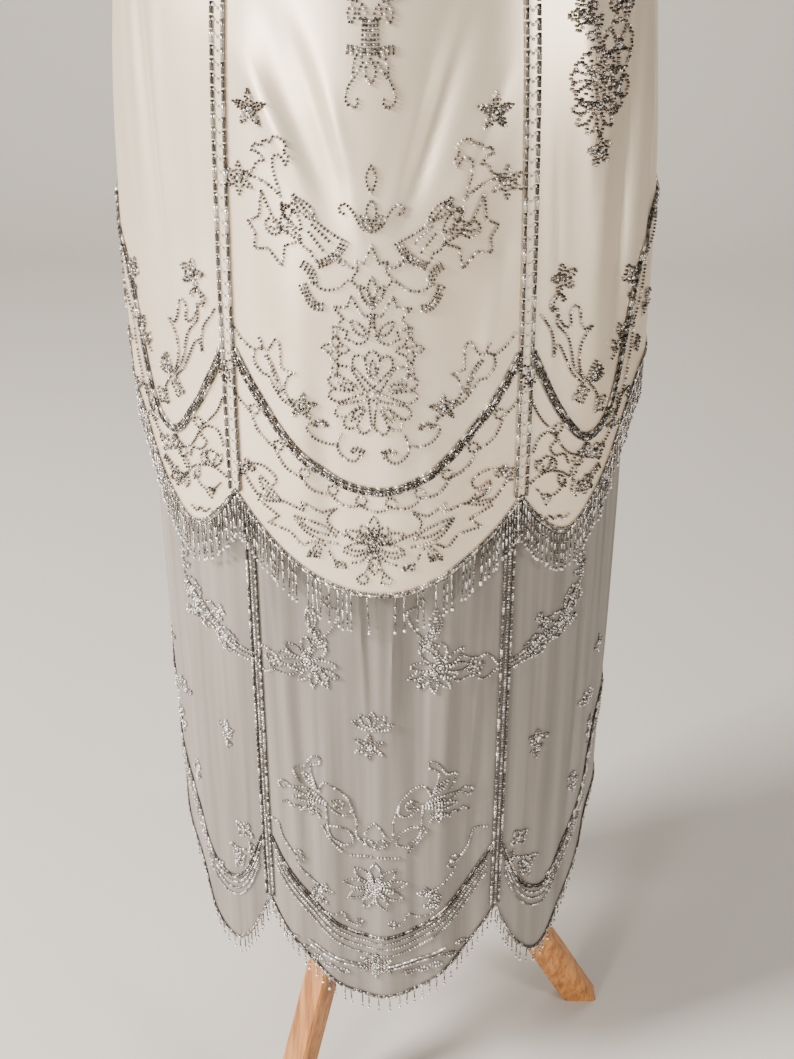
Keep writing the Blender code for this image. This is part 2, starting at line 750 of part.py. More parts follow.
def make_stand(material):
    """Pole, hub and three legs under the form, and the turned cap on its neck."""
    pole = ((POLE_RADIUS, HUB_HIGH + SEAM_GAP), (POLE_RADIUS, FORM_FOOT - SEAM_GAP))
    make_turned("stand_pole", pole, POLE_SIDES, material)
    make_hub(material)
    for name, angle in LEG_TURNS.items():
        make_leg(name, angle, material)
    seat = NECK_TOP + SEAM_GAP
    cap = [(ring.radius, seat + ring.rise) for ring in NECK_CAP]
    make_turned("form_neck_cap", cap, NECK_SIDES, material)


def main():
    """Build the dress, its trim, the form and the stand."""
    clear_scene()
    finishes = make_finishes()
    satin = make_layer("satin", satin_point, satin_paths, SATIN_WALL,
                       (FRONT_COLUMNS, SIDE_COLUMNS))
    georgette = make_layer("georgette", georgette_point, georgette_paths, GEORGETTE_WALL,
                           (FRONT_COLUMNS + GEORGETTE_EXTRA_COLUMNS,
                            SIDE_COLUMNS + GEORGETTE_EXTRA_COLUMNS))
    for panel in georgette.values():
        hang_from(panel, satin.values())
    for laid, finish in ((satin, "satin"), (georgette, "georgette")):
        for name, panel in laid.items():
            make_wall(name, panel.outer, panel.inner, finishes[finish], panel.leans)
    make_trim("satin", satin, satin_point, SATIN_SWAG, 0, finishes["beads"])
    make_trim("georgette", georgette, georgette_point, GEORGETTE_SWAG, 1, finishes["beads"])
    make_fringe("satin_fringe", list(satin.values()), SATIN_FRINGE, finishes["beads"])
    make_fringe("georgette_fringe", list(georgette.values()), GEORGETTE_FRINGE,
                finishes["beads"])
    make_form(finishes["linen"])
    make_stand(finishes["wood"])


main()
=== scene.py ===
"""Looks of a beaded silk wedding dress of the 1920s on a limbless dress form with a tripod stand.

Metres, +Z up, front towards -Y, floor at Z = 0. Cloth is laid out on a tube: an angle goes round
it (0 at centre front, 90 at the +X side, 180 at centre back) and a path runs up it, which equals
the height up to the chest and follows the shoulder above. Beadwork is drawn in millimetres on the
cloth: across from centre front or centre back, and up from the floor.
"""

import logging
import math
from dataclasses import dataclass, field
from enum import Enum
from typing import Callable, Iterable, Sequence

import bpy
import numpy as np
from bpy.types import Material, Node, NodeSocket, NodeTree, Object
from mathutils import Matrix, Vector


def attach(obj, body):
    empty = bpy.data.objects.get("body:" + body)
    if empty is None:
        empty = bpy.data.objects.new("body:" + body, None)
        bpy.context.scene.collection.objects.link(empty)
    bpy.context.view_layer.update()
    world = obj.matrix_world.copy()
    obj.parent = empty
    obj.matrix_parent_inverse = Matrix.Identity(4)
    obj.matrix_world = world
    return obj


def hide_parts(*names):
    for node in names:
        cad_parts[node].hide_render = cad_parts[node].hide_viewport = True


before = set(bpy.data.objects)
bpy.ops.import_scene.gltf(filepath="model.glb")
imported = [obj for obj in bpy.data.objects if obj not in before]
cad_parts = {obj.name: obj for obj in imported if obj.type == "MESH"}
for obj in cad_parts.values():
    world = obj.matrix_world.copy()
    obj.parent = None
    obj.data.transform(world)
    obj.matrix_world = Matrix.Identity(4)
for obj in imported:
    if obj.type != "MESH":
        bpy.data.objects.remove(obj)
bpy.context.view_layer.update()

LOG = logging.getLogger("wedding_dress")
MM = 0.001

# Cut of the cloth, as the solids have it
SEAM_ANGLE = 31.5
SIDE_ANGLE = 90.0
NECK_ANGLE = 27.5625
SHOULDER_ANGLE = 43.2
NECK_CURVE = 1.25
ARMHOLE_CURVE = 1.3
CHEST = 1.280
SHOULDER_RISE = 0.115
SHOULDER_SLOPE = 0.36
SHOULDER_PATH = 1.473
FRONT_NECK = 1.235
BACK_NECK = 1.315
ARMHOLE = 1.195
SKIRT_SEAM = 0.885
GEORGETTE_FREE = 0.815
SATIN_WALL = 0.0012
GEORGETTE_WALL = 0.0010
SEAM_GAP = 0.0003
SHELL_GAP = 0.00008
NORMAL_STEP = 0.0005
NORMAL_TURN = 0.05

Point = tuple[float, float]
Line = np.ndarray | Sequence[Point]


@dataclass(frozen=True)
class Oval:
    """Half sizes of a tube of cloth at one height."""

    height: float
    half_width: float
    half_depth: float


@dataclass(frozen=True)
class Fold:
    """Soft fold that runs from an upper to a lower end and bulges by its depth."""

    top_angle: float
    foot_angle: float
    top: float
    foot: float
    half_angle: float
    depth: float


def folds(*rows: tuple[float, ...]) -> tuple[Fold, ...]:
    """Folds from rows of top angle, foot angle, top, foot, half angle and depth."""
    return tuple(Fold(*row) for row in rows)


@dataclass(frozen=True)
class Edge:
    """Hem or swag line: a parabola on a middle panel, and marks from seam to side beyond it."""

    middle: float
    shares: tuple[float, ...]
    heights: tuple[float, ...]

    def at(self, angle: np.ndarray) -> np.ndarray:
        """Heights of the line.

        Args:
            angle: Angles round the tube, in degrees.

        Returns:
            Height at each angle, in metres.
        """
        turned = fold_angle(angle)
        seam = self.heights[0]
        middle = self.middle + (seam - self.middle) * (turned / SEAM_ANGLE) ** 2
        share = (turned - SEAM_ANGLE) / (SIDE_ANGLE - SEAM_ANGLE)
        return np.where(turned <= SEAM_ANGLE, middle,
                        read_smooth(self.shares, self.heights, share))


SATIN_OVALS = (
    Oval(0.560, 0.199, 0.149), Oval(0.700, 0.198, 0.149), Oval(0.850, 0.194, 0.148),
    Oval(0.970, 0.187, 0.144), Oval(1.070, 0.176, 0.134), Oval(1.160, 0.171, 0.126),
    Oval(1.240, 0.172, 0.122), Oval(1.280, 0.173, 0.120), Oval(1.340, 0.176, 0.120),
    Oval(1.420, 0.182, 0.120),
)
GEORGETTE_OVALS = (
    Oval(0.120, 0.187, 0.139), Oval(0.400, 0.187, 0.139), Oval(0.650, 0.186, 0.138),
    Oval(0.800, 0.185, 0.138), Oval(0.900, 0.184, 0.138),
)
SATIN_HEM = Edge(0.578, (0.0, 0.10, 0.22, 0.40, 0.60, 0.80, 1.0),
                 (0.652, 0.628, 0.614, 0.640, 0.694, 0.724, 0.736))
SATIN_SWAG = Edge(0.667, (0.0, 0.15, 0.32, 0.45, 0.60, 0.80, 1.0),
                  (0.774, 0.718, 0.688, 0.706, 0.785, 0.838, 0.856))
GEORGETTE_HEM = Edge(0.146, (0.0, 0.10, 0.24, 0.40, 0.60, 0.80, 1.0),
                     (0.243, 0.200, 0.170, 0.190, 0.252, 0.302, 0.325))
GEORGETTE_SWAG = Edge(0.220, (0.0, 0.12, 0.27, 0.45, 0.65, 0.82, 1.0),
                      (0.325, 0.268, 0.246, 0.278, 0.345, 0.405, 0.440))

# Large folds, as the solids have them, then finer creases of the satin
SATIN_FOLDS = folds(
    (-66, -45, 1.08, 0.76, 3.7, -0.0054), (-56, -38, 0.98, 0.62, 4.4, 0.003),
    (-80, -68, 1.04, 0.66, 4.4, 0.003), (-24, -6, 1.02, 0.84, 4.4, -0.003),
    (-16, -15, 0.88, 0.6, 5.2, 0.0025), (22, 4, 1.03, 0.85, 4.4, -0.0032),
    (2, 6, 0.8, 0.56, 5.2, 0.0022), (18, 20, 0.86, 0.58, 4.4, -0.0025),
    (44, 50, 1.06, 0.7, 4.4, 0.003), (72, 58, 1.08, 0.74, 4.0, -0.0046),
    (84, 78, 0.98, 0.66, 4.4, 0.0028), (104, 118, 1.06, 0.68, 4.4, -0.0036),
    (132, 128, 1.0, 0.66, 4.4, 0.003), (160, 172, 1.02, 0.74, 5.2, -0.0034),
    (178, 182, 0.9, 0.58, 5.2, 0.0025), (-164, -170, 0.98, 0.64, 4.4, 0.0028),
    (-136, -124, 1.05, 0.7, 4.4, -0.0036), (-112, -106, 1.0, 0.66, 4.4, 0.003),
)
SATIN_CREASES = folds(
    (-72, -60, 1.1, 0.84, 2.4, -0.0023), (-52, -47, 1.02, 0.8, 2.0, 0.0017),
    (-39, -37, 0.96, 0.7, 1.6, 0.0013), (-35, -35, 0.9, 0.66, 1.3, -0.0011),
    (-29, -11, 0.98, 0.87, 2.6, 0.0021), (-18, -3, 1.0, 0.86, 2.2, -0.0019),
    (-10, -2, 0.96, 0.84, 1.8, 0.0015), (12, 2, 0.97, 0.85, 1.9, 0.0015),
    (19, 5, 1.0, 0.86, 2.3, -0.0019), (28, 12, 0.97, 0.84, 2.6, 0.0021),
    (27, 21, 0.86, 0.74, 2.2, 0.0017), (-25, -22, 0.86, 0.72, 2.2, -0.0015),
    (-12, -9, 0.78, 0.6, 2.4, -0.0017), (11, 12, 0.74, 0.58, 2.2, 0.0015),
    (38, 41, 0.95, 0.72, 2.0, -0.0015), (54, 50, 1.0, 0.8, 2.4, 0.0019),
    (66, 60, 1.06, 0.78, 1.8, -0.0025), (78, 70, 1.02, 0.76, 1.5, 0.0019),
    (95, 100, 1.0, 0.78, 2.0, 0.0019), (112, 116, 0.96, 0.72, 1.8, -0.0019),
    (124, 121, 1.04, 0.76, 2.3, 0.0017), (140, 137, 0.98, 0.7, 2.0, -0.0017),
    (155, 166, 1.0, 0.82, 2.2, 0.0019), (170, 176, 0.98, 0.78, 1.9, -0.0015),
    (186, 183, 0.86, 0.62, 2.1, 0.0015), (200, 190, 1.0, 0.82, 2.3, -0.0019),
    (-146, -142, 0.96, 0.7, 2.0, 0.0017), (-130, -127, 1.02, 0.74, 1.8, -0.0019),
    (-118, -114, 0.98, 0.76, 2.2, 0.0019), (-98, -94, 1.02, 0.78, 1.7, -0.0021),
    (-84, -77, 1.0, 0.74, 1.6, 0.0017), (-44, -60, 1.2, 1.06, 4.0, -0.0025),
    (44, 60, 1.2, 1.06, 4.0, -0.0025), (-136, -120, 1.2, 1.06, 4.0, -0.0025),
    (136, 120, 1.2, 1.06, 4.0, -0.0025),
)

# Long thin pleats of the georgette: those of the front as it hangs, then like ones behind
GEORGETTE_PLEATS = folds(
    (-55, -57, 0.74, 0.3, 1.8, 0.0016), (-46, -50, 0.8, 0.34, 0.9, 0.0017),
    (-40, -41, 0.66, 0.3, 1.4, 0.0008), (-30, -25, 0.8, 0.5, 0.8, 0.0021),
    (-24, -20, 0.56, 0.24, 1.7, 0.0016), (-17, -15, 0.52, 0.16, 1.0, 0.0008),
    (-12, -11, 0.5, 0.2, 1.6, 0.0009), (-4.9, -3.0, 0.64, 0.43, 0.8, 0.0025),
    (-5, -7, 0.4, 0.16, 1.1, 0.0006), (4.3, 2.6, 0.64, 0.43, 0.8, 0.0025),
    (6, 8, 0.44, 0.16, 1.3, 0.0008), (13, 12, 0.66, 0.3, 0.9, 0.0006),
    (19, 16, 0.74, 0.34, 1.7, 0.0016), (26, 22, 0.6, 0.3, 0.8, 0.0017),
    (29, 29, 0.5, 0.2, 1.2, 0.0008), (37, 40, 0.78, 0.3, 1.5, 0.0017),
    (47, 46, 0.72, 0.26, 2.1, 0.0016), (56, 58, 0.76, 0.3, 1.0, 0.0014),
    (-62, -63, 0.76, 0.28, 1.3, 0.0016), (-72, -71, 0.74, 0.34, 1.2, 0.0014),
    (70, 73, 0.74, 0.34, 1.2, 0.0014), (82, 81, 0.72, 0.38, 1.3, 0.0016),
    (-82, -83, 0.7, 0.38, 1.3, 0.0014), (94, 92, 0.74, 0.36, 1.2, 0.0016),
    (103, 106, 0.76, 0.3, 1.4, 0.0016), (114, 112, 0.7, 0.26, 1.1, 0.0014),
    (123, 126, 0.78, 0.3, 1.2, 0.0016), (134, 131, 0.72, 0.24, 1.3, 0.0016),
    (142, 145, 0.76, 0.3, 1.2, 0.0016), (155, 151, 0.62, 0.28, 1.1, 0.001),
    (163, 167, 0.74, 0.34, 1.2, 0.0017), (174, 171, 0.7, 0.22, 1.0, 0.0014),
    (184, 187, 0.74, 0.38, 1.1, 0.0016), (194, 192, 0.58, 0.2, 1.2, 0.0014),
    (204, 208, 0.76, 0.3, 1.1, 0.0016), (216, 213, 0.72, 0.26, 1.3, 0.0016),
    (226, 229, 0.76, 0.32, 1.2, 0.0014), (238, 235, 0.7, 0.26, 1.3, 0.0016),
    (248, 251, 0.76, 0.32, 1.2, 0.0016), (262, 259, 0.72, 0.36, 1.3, 0.0016),
)
FOLD_MIDDLE = 0.55
FOLD_REACH = 0.38
FOLD_OVERRUN = 0.3

# Gathers of the georgette, as the solids have them
GATHERS = 24
GATHER_DEPTH = 0.0012
GATHER_DRIFT = 0.9
GATHER_DRIFTS_ROUND = 3
GATHER_LEAN = 0.8


def read_smooth(places: Sequence[float], values: Sequence[float], at: np.ndarray) -> np.ndarray:
    """Read a table along a smooth curve through its rows.

    Args:
        places: Places of the rows, rising.
        values: Value of each row.
        at: Places to read.

    Returns:
        Value at each place.
    """
    places = np.asarray(places, float)
    values = np.asarray(values, float)
    at = np.clip(np.asarray(at, float), places[0], places[-1])
    row = np.clip(np.searchsorted(places, at, side="right") - 1, 0, len(places) - 2)
    slopes = np.gradient(values, places)
    step = places[row + 1] - places[row]
    share = (at - places[row]) / step
    near = (1.0 + 2.0 * share) * (1.0 - share) ** 2
    near_slope = share * (1.0 - share) ** 2
    far = share ** 2 * (3.0 - 2.0 * share)
    far_slope = share ** 2 * (share - 1.0)
    return (near * values[row] + near_slope * step * slopes[row]
            + far * values[row + 1] + far_slope * step * slopes[row + 1])


def signed(angle: np.ndarray) -> np.ndarray:
    """The same angles between -180 and 180."""
    return (np.asarray(angle, float) + 180.0) % 360.0 - 180.0


def fold_angle(angle: np.ndarray) -> np.ndarray:
    """Angle from centre front or centre back, whichever is nearer, 0 to 90."""
    turned = np.abs(signed(angle))
    return np.minimum(turned, 180.0 - turned)


@dataclass
class Tube:
    """Layer of cloth as a tube of ovals with folds."""

    ovals: tuple[Oval, ...]
    folds: tuple[Fold, ...]

    def half_sizes(self, height: np.ndarray) -> tuple[np.ndarray, np.ndarray]:
        """Half width and half depth of the tube at heights."""
        heights = [oval.height for oval in self.ovals]
        return (read_smooth(heights, [oval.half_width for oval in self.ovals], height),
                read_smooth(heights, [oval.half_depth for oval in self.ovals], height))

    def bulge(self, angle: np.ndarray, height: np.ndarray) -> np.ndarray:
        """How far the folds stand out at places, in metres."""
        total = np.zeros(np.broadcast(angle, height).shape)
        for fold in self.folds:
            along = (fold.top - height) / (fold.top - fold.foot)
            near = (along > -FOLD_OVERRUN) & (along < 1.0 + FOLD_OVERRUN)
            ends = np.where(near, np.exp(-((along - FOLD_MIDDLE) / FOLD_REACH) ** 4), 0.0)
            middle = fold.top_angle + (fold.foot_angle - fold.top_angle) * along
            away = signed(angle - middle) / fold.half_angle
            total = total + fold.depth * ends * np.exp(-away ** 2)
        return total

    def points(self, angle: np.ndarray, path: np.ndarray) -> np.ndarray:
        """Points of the cloth's outer face.

        Args:
            angle: Angles round the tube, in degrees.
            path: Path lengths up the tube, in metres.

        Returns:
            Points, one row of three for each place.
        """
        angle, path = np.broadcast_arrays(np.asarray(angle, float), np.asarray(path, float))
        half_width, half_depth = self.half_sizes(path)
        turn = np.radians(angle)
        out_x = np.sin(turn) / half_width
        out_y = -np.cos(turn) / half_depth
        stand = self.bulge(angle, path) / np.hypot(out_x, out_y)
        return np.stack([half_width * np.sin(turn) + out_x * stand,
                         -half_depth * np.cos(turn) + out_y * stand, path], axis=-1)

    def normals(self, angle: np.ndarray, path: np.ndarray) -> np.ndarray:
        """Outward normals of the cloth at places."""
        angle, path = np.asarray(angle, float), np.asarray(path, float)
        along = self.points(angle, path + NORMAL_STEP) - self.points(angle, path - NORMAL_STEP)
        around = self.points(angle + NORMAL_TURN, path) - self.points(angle - NORMAL_TURN, path)
        normal = np.cross(around, along)
        return normal / np.linalg.norm(normal, axis=-1, keepdims=True)

    def lifted(self, angle: np.ndarray, path: np.ndarray, lift: float) -> np.ndarray:
        """Points that stand off the cloth's outer face by a lift."""
        return self.points(angle, path) + self.normals(angle, path) * lift

    def angle_at(self, origin: float, across: np.ndarray, height: np.ndarray) -> np.ndarray:
        """Angles that lie a distance round the tube from centre front or centre back.

        Args:
            origin: 0 at centre front or 180 at centre back.
            across: Distances round the tube, in metres, positive towards rising angles.
            height: Heights, in metres.

        Returns:
            Angle of each place, in degrees.
        """
        half_width, half_depth = self.half_sizes(height)
        turns = np.radians(np.linspace(0.0, 120.0, 121))
        speed = np.hypot(half_width[:, None] * np.cos(turns), half_depth[:, None] * np.sin(turns))
        steps = (speed[:, 1:] + speed[:, :-1]) / 2.0 * (turns[1] - turns[0])
        length = np.concatenate([np.zeros((len(steps), 1)), np.cumsum(steps, axis=1)], axis=1)
        distance = np.abs(across)
        row = np.clip((length < distance[:, None]).sum(axis=1) - 1, 0, len(turns) - 2)
        each = np.arange(len(distance))
        share = (distance - length[each, row]) / (length[each, row + 1] - length[each, row])
        return origin + np.sign(across) * np.degrees(turns[row] + share * (turns[1] - turns[0]))


class SatinTube(Tube):
    """Satin over-dress: a tube that closes over the shoulders."""

    def bulge(self, angle: np.ndarray, height: np.ndarray) -> np.ndarray:
        """How far the folds stand out; there are none above the chest."""
        return np.where(height <= CHEST, super().bulge(angle, height), 0.0)

    def points(self, angle: np.ndarray, path: np.ndarray) -> np.ndarray:
        """Points of the cloth's outer face, as Tube.points gives them."""
        angle, path = np.broadcast_arrays(np.asarray(angle, float), np.asarray(path, float))
        below = super().points(angle, np.minimum(path, CHEST))
        climb = np.radians(90.0) * (path - CHEST) / (SHOULDER_PATH - CHEST)
        height = CHEST + SHOULDER_RISE * np.sin(climb)
        half_width, half_depth = self.half_sizes(height)
        turn = np.radians(angle)
        across = half_width * np.sin(turn)
        neck_side = half_width * math.sin(math.radians(NECK_ANGLE))
        fall = SHOULDER_SLOPE * (np.abs(across) - neck_side) * np.sin(climb) ** 2
        above = np.stack([across, -half_depth * np.cos(climb) * np.cos(turn), height - fall], -1)
        return np.where((path > CHEST)[..., None], above, below)


@dataclass
class GeorgetteTube(Tube):
    """Gathered georgette skirt, whose top is drawn out to the satin's inner face."""

    satin: SatinTube

    def share_free(self, height: np.ndarray) -> np.ndarray:
        """Share of the skirt's own shape at heights: 0 at its seam, 1 where it hangs free."""
        return np.clip((SKIRT_SEAM - height) / (SKIRT_SEAM - GEORGETTE_FREE), 0.0, 1.0)

    def half_sizes(self, height: np.ndarray) -> tuple[np.ndarray, np.ndarray]:
        """Half sizes, drawn out to the satin at the seam."""
        free = self.share_free(height)
        own = super().half_sizes(height)
        seam = self.satin.half_sizes(height)
        inset = SATIN_WALL + SEAM_GAP
        return (own[0] * free + (seam[0] - inset) * (1.0 - free),
                own[1] * free + (seam[1] - inset) * (1.0 - free))

    def bulge(self, angle: np.ndarray, height: np.ndarray) -> np.ndarray:
        """How far the gathers and pleats stand out at places."""
        turn = np.radians(angle)
        free = self.share_free(height)
        drift = GATHER_DRIFT * np.sin(GATHER_DRIFTS_ROUND * turn + GATHER_LEAN)
        lean = GATHER_LEAN * height * np.sin(2.0 * turn)
        gathers = GATHER_DEPTH * np.sin(GATHERS * turn + drift + lean)
        own = gathers + super().bulge(angle, height)
        return own * free + self.satin.bulge(angle, height) * (1.0 - free)


def linear(text: str) -> tuple[float, float, float, float]:
    """Turn an sRGB hex colour into linear values with full alpha."""
    channels = [int(text[start:start + 2], 16) / 255.0 for start in (1, 3, 5)]
    return (*[c / 12.92 if c <= 0.04045 else ((c + 0.055) / 1.055) ** 2.4 for c in channels], 1.0)


def add_node(tree: NodeTree, kind: str, settings: dict | None = None,
             values: dict | None = None, links: dict | None = None) -> Node:
    """Add a node with its settings, input values and links.

    Args:
        tree: Node tree that takes it.
        kind: Blender's type name of the node.
        settings: Properties of the node by name.
        values: Default values of its inputs, by name or number.
        links: Output sockets that feed its inputs, by name or number.

    Returns:
        The new node.
    """
    node = tree.nodes.new(kind)
    for name, value in (settings or {}).items():
        setattr(node, name, value)
    for name, value in (values or {}).items():
        node.inputs[name].default_value = value
    for name, source in (links or {}).items():
        tree.links.new(source, node.inputs[name])
    return node


def add_ramp(tree: NodeTree, share: NodeSocket,
             stops: Sequence[tuple[float, str]]) -> NodeSocket:
    """Colour ramp over a share, its stops each a place and an sRGB hex colour."""
    node = add_node(tree, "ShaderNodeValToRGB", links={"Fac": share})
    ramp = node.color_ramp
    while len(ramp.elements) < len(stops):
        ramp.elements.new(0.5)
    for element, (place, colour) in zip(ramp.elements, stops):
        element.position = place
        element.color = linear(colour)
    return node.outputs["Color"]


def add_noise(tree: NodeTree, place: NodeSocket, size_mm: float,
              dimensions: str = "3D", **values: float) -> NodeSocket:
    """Noise over a place, whose patches are about a size in millimetres across."""
    return add_node(tree, "ShaderNodeTexNoise", {"noise_dimensions": dimensions},
                    {"Scale": 1.0 / (size_mm * MM), **values}, {"Vector": place}).outputs["Fac"]


def stretched(tree: NodeTree, place: NodeSocket,
              scale: tuple[float, float, float]) -> NodeSocket:
    """A place scaled on each axis, so that the pattern over it is drawn out."""
    return add_node(tree, "ShaderNodeMapping", values={"Scale": scale},
                    links={"Vector": place}).outputs["Vector"]


def set_bump(tree: NodeTree, shader: Node, height: NodeSocket,
             strength: float, distance: float) -> None:
    """Give a shader fine relief from a height."""
    bump = add_node(tree, "ShaderNodeBump", None, {"Strength": strength, "Distance": distance},
                    {"Height": height})
    tree.links.new(bump.outputs["Normal"], shader.inputs["Normal"])


def new_material(name: str, values: dict) -> tuple[Material, NodeTree, Node]:
    """Make a material with one Principled shader and set that shader's own sockets."""
    material = bpy.data.materials.new(name)
    material.use_nodes = True
    shader = material.node_tree.nodes["Principled BSDF"]
    for socket, value in values.items():
        shader.inputs[socket].default_value = value
    return material, material.node_tree, shader


@dataclass(frozen=True)
class SilkCharmeuse:
    """Silk satin, woven with long warp floats: a soft broad gloss and hardly any texture."""

    name: str = "silk_charmeuse_satin"
    pale: str = "#FAEAD2"
    deep: str = "#F0DDC2"
    stain: str = "#D6BE9E"
    # Slubs are longer than the real ones, so that they still show at the camera's distance
    slub_mm: float = 9.0
    cloud_mm: float = 120.0
    spot_mm: float = 1000.0 / 17.0

    def build(self) -> Material:
        """Make the material: faint slubs along the warp, age clouds and a few pale stains."""
        material, tree, shader = new_material(self.name, {
            "Roughness": 0.37, "Sheen Weight": 0.15, "Sheen Roughness": 0.4, "Metallic": 0.55,
            "Specular IOR Level": 0.7, "IOR": 1.5,
        })
        cut = add_node(tree, "ShaderNodeUVMap", {"uv_map": "cut"}).outputs["UV"]
        # Slubs run up the cloth, so the pattern is drawn out twenty times that way
        slub = add_noise(tree, stretched(tree, cut, (1.0, 0.05, 1.0)), self.slub_mm, "2D",
                         Detail=5.0, Roughness=0.6)
        place = add_node(tree, "ShaderNodeTexCoord").outputs["Object"]
        cloud = add_noise(tree, place, self.cloud_mm, Detail=3.0)
        tint = add_ramp(tree, cloud, ((0.35, self.pale), (0.72, self.deep)))
        spots = add_noise(tree, place, self.spot_mm, Detail=4.0)
        spot_share = add_node(tree, "ShaderNodeMapRange", None,
                              {"From Min": 0.66, "From Max": 0.80, "To Max": 0.45},
                              {"Value": spots})
        colour = add_node(tree, "ShaderNodeMix", {"data_type": "RGBA"}, {7: linear(self.stain)},
                          {0: spot_share.outputs["Result"], 6: tint})
        tree.links.new(colour.outputs[2], shader.inputs["Base Color"])
        set_bump(tree, shader, slub, 0.10, 0.0006)
        return material


@dataclass(frozen=True)
class SilkGeorgette:
    """Silk georgette of hard-twisted crepe yarns: matt, sheer and a little grainy."""

    name: str = "silk_crepe_georgette"
    pale: str = "#968E86"
    deep: str = "#746D65"
    # Crepe yarns lie about 0.3 mm apart, drawn at 0.9 mm, since finer would not show
    yarn_mm: float = 0.9
    streak_mm: float = 13.0

    def build(self) -> Material:
        """Make the material: grey-beige with long warp streaks and a crepe grain."""
        material, tree, shader = new_material(self.name, {
            "Roughness": 0.62, "Sheen Weight": 0.35, "Sheen Roughness": 0.5,
            "Specular IOR Level": 0.35, "Alpha": 0.93, "IOR": 1.5,
        })
        cut = add_node(tree, "ShaderNodeUVMap", {"uv_map": "cut"}).outputs["UV"]
        streak = add_noise(tree, stretched(tree, cut, (1.0, 0.03, 1.0)), self.streak_mm, "2D",
                           Detail=4.0)
        tint = add_ramp(tree, streak, ((0.28, self.deep), (0.74, self.pale)))
        tree.links.new(tint, shader.inputs["Base Color"])
        grain = add_noise(tree, cut, self.yarn_mm, "2D", Detail=2.0)
        set_bump(tree, shader, grain, 0.18, 0.0004)
        return material


@dataclass(frozen=True)
class GlassBead:
    """Pressed or drawn glass with a metal lining: each bead catches the light its own way."""

    name: str
    dark: str
    middle: str
    light: str
    metallic: float = 0.75
    roughness: float = 0.2

    def build(self) -> Material:
        """Make the material, whose tone comes from the bead's own attribute."""
        material, tree, shader = new_material(self.name, {
            "Roughness": self.roughness, "Metallic": self.metallic, "Coat Weight": 0.4,
            "Coat Roughness": 0.08,
        })
        tone = add_node(tree, "ShaderNodeAttribute", {"attribute_name": "tone"}).outputs["Fac"]
        tint = add_ramp(tree, tone, ((0.0, self.dark), (0.62, self.middle), (1.0, self.light)))
        tree.links.new(tint, shader.inputs["Base Color"])
        return material


@dataclass(frozen=True)
class FormLinen:
    """Plain-woven linen stretched over the dress form: matt, with a visible weave."""

    name: str = "form_cover_linen"
    pale: str = "#D8CBB6"
    deep: str = "#B9A98F"
    # Threads lie about 0.5 mm apart, drawn at 1.4 mm so that they show
    thread_mm: float = 1.4

    def build(self) -> Material:
        """Make the material from two crossed rows of threads."""
        material, tree, shader = new_material(self.name, {
            "Roughness": 0.85, "Sheen Weight": 0.2, "Specular IOR Level": 0.25,
        })
        place = add_node(tree, "ShaderNodeTexCoord").outputs["Object"]
        # A wave's rings repeat every 2 pi / 20 units, so the scale brings that to a thread
        scale = math.tau / 20.0 / (self.thread_mm * MM)
        threads = [add_node(tree, "ShaderNodeTexWave", {"bands_direction": direction},
                            {"Scale": scale, "Distortion": 0.6, "Detail": 1.0},
                            {"Vector": place}).outputs["Fac"] for direction in ("X", "Z")]
        weave = add_node(tree, "ShaderNodeMath", {"operation": "MULTIPLY"},
                         links={0: threads[0], 1: threads[1]}).outputs["Value"]
        tint = add_ramp(tree, weave, ((0.0, self.deep), (0.7, self.pale)))
        tree.links.new(tint, shader.inputs["Base Color"])
        set_bump(tree, shader, weave, 0.3, 0.0005)
        return material


@dataclass(frozen=True)
class VarnishedWood:
    """Beech or maple, stained and varnished: orange-brown, glossy, with grain along the bar."""

    name: str
    turn: tuple[float, float, float]
    pale: str = "#C98A4B"
    deep: str = "#8E5220"
    ring_mm: float = 5.0

    def build(self) -> Material:
        """Make the material, with its grain along the piece."""
        material, tree, shader = new_material(self.name, {
            "Roughness": 0.46, "Coat Weight": 0.2, "Coat Roughness": 0.3, "IOR": 1.5,
        })
        place = add_node(tree, "ShaderNodeTexCoord").outputs["Object"]
        along = add_node(tree, "ShaderNodeMapping",
                         values={"Rotation": tuple(math.radians(a) for a in self.turn)},
                         links={"Vector": place}).outputs["Vector"]
        grain = add_noise(tree, stretched(tree, along, (1.0, 1.0, 0.06)), self.ring_mm,
                          Detail=6.0, Roughness=0.62, Distortion=0.4)
        tint = add_ramp(tree, grain, ((0.34, self.deep), (0.62, self.pale)))
        tree.links.new(tint, shader.inputs["Base Color"])
        set_bump(tree, shader, grain, 0.12, 0.0005)
        return material


def add_object(name: str, data: bpy.types.ID) -> Object:
    """Make an object of a mesh, light or camera and put it in the scene."""
    made = bpy.data.objects.new(name, data)
    bpy.context.scene.collection.objects.link(made)
    return made


def evaluated_mesh(piece: Object) -> bpy.types.Mesh:
    """Plain mesh of an object as its modifiers make it."""
    bpy.context.view_layer.update()
    graph = bpy.context.evaluated_depsgraph_get()
    return bpy.data.meshes.new_from_object(piece.evaluated_get(graph),
                                           preserve_all_data_layers=True, depsgraph=graph)


def make_mesh(name: str, points: np.ndarray, faces: Iterable[Sequence[int]],
              material: Material, sharp_degrees: float = 50.0) -> Object:
    """Make a smooth-shaded mesh object at the origin.

    Args:
        name: Name of the object.
        points: Its points, one row of three each.
        faces: Point numbers of each face.
        material: Its finish.
        sharp_degrees: Edges that turn by more stay sharp.

    Returns:
        The new object.
    """
    mesh = bpy.data.meshes.new(name)
    mesh.from_pydata([tuple(point) for point in points.tolist()], [], list(faces))
    mesh.materials.append(material)
    mesh.shade_smooth()
    mesh.set_sharp_from_angle(angle=math.radians(sharp_degrees))
    return add_object(name, mesh)


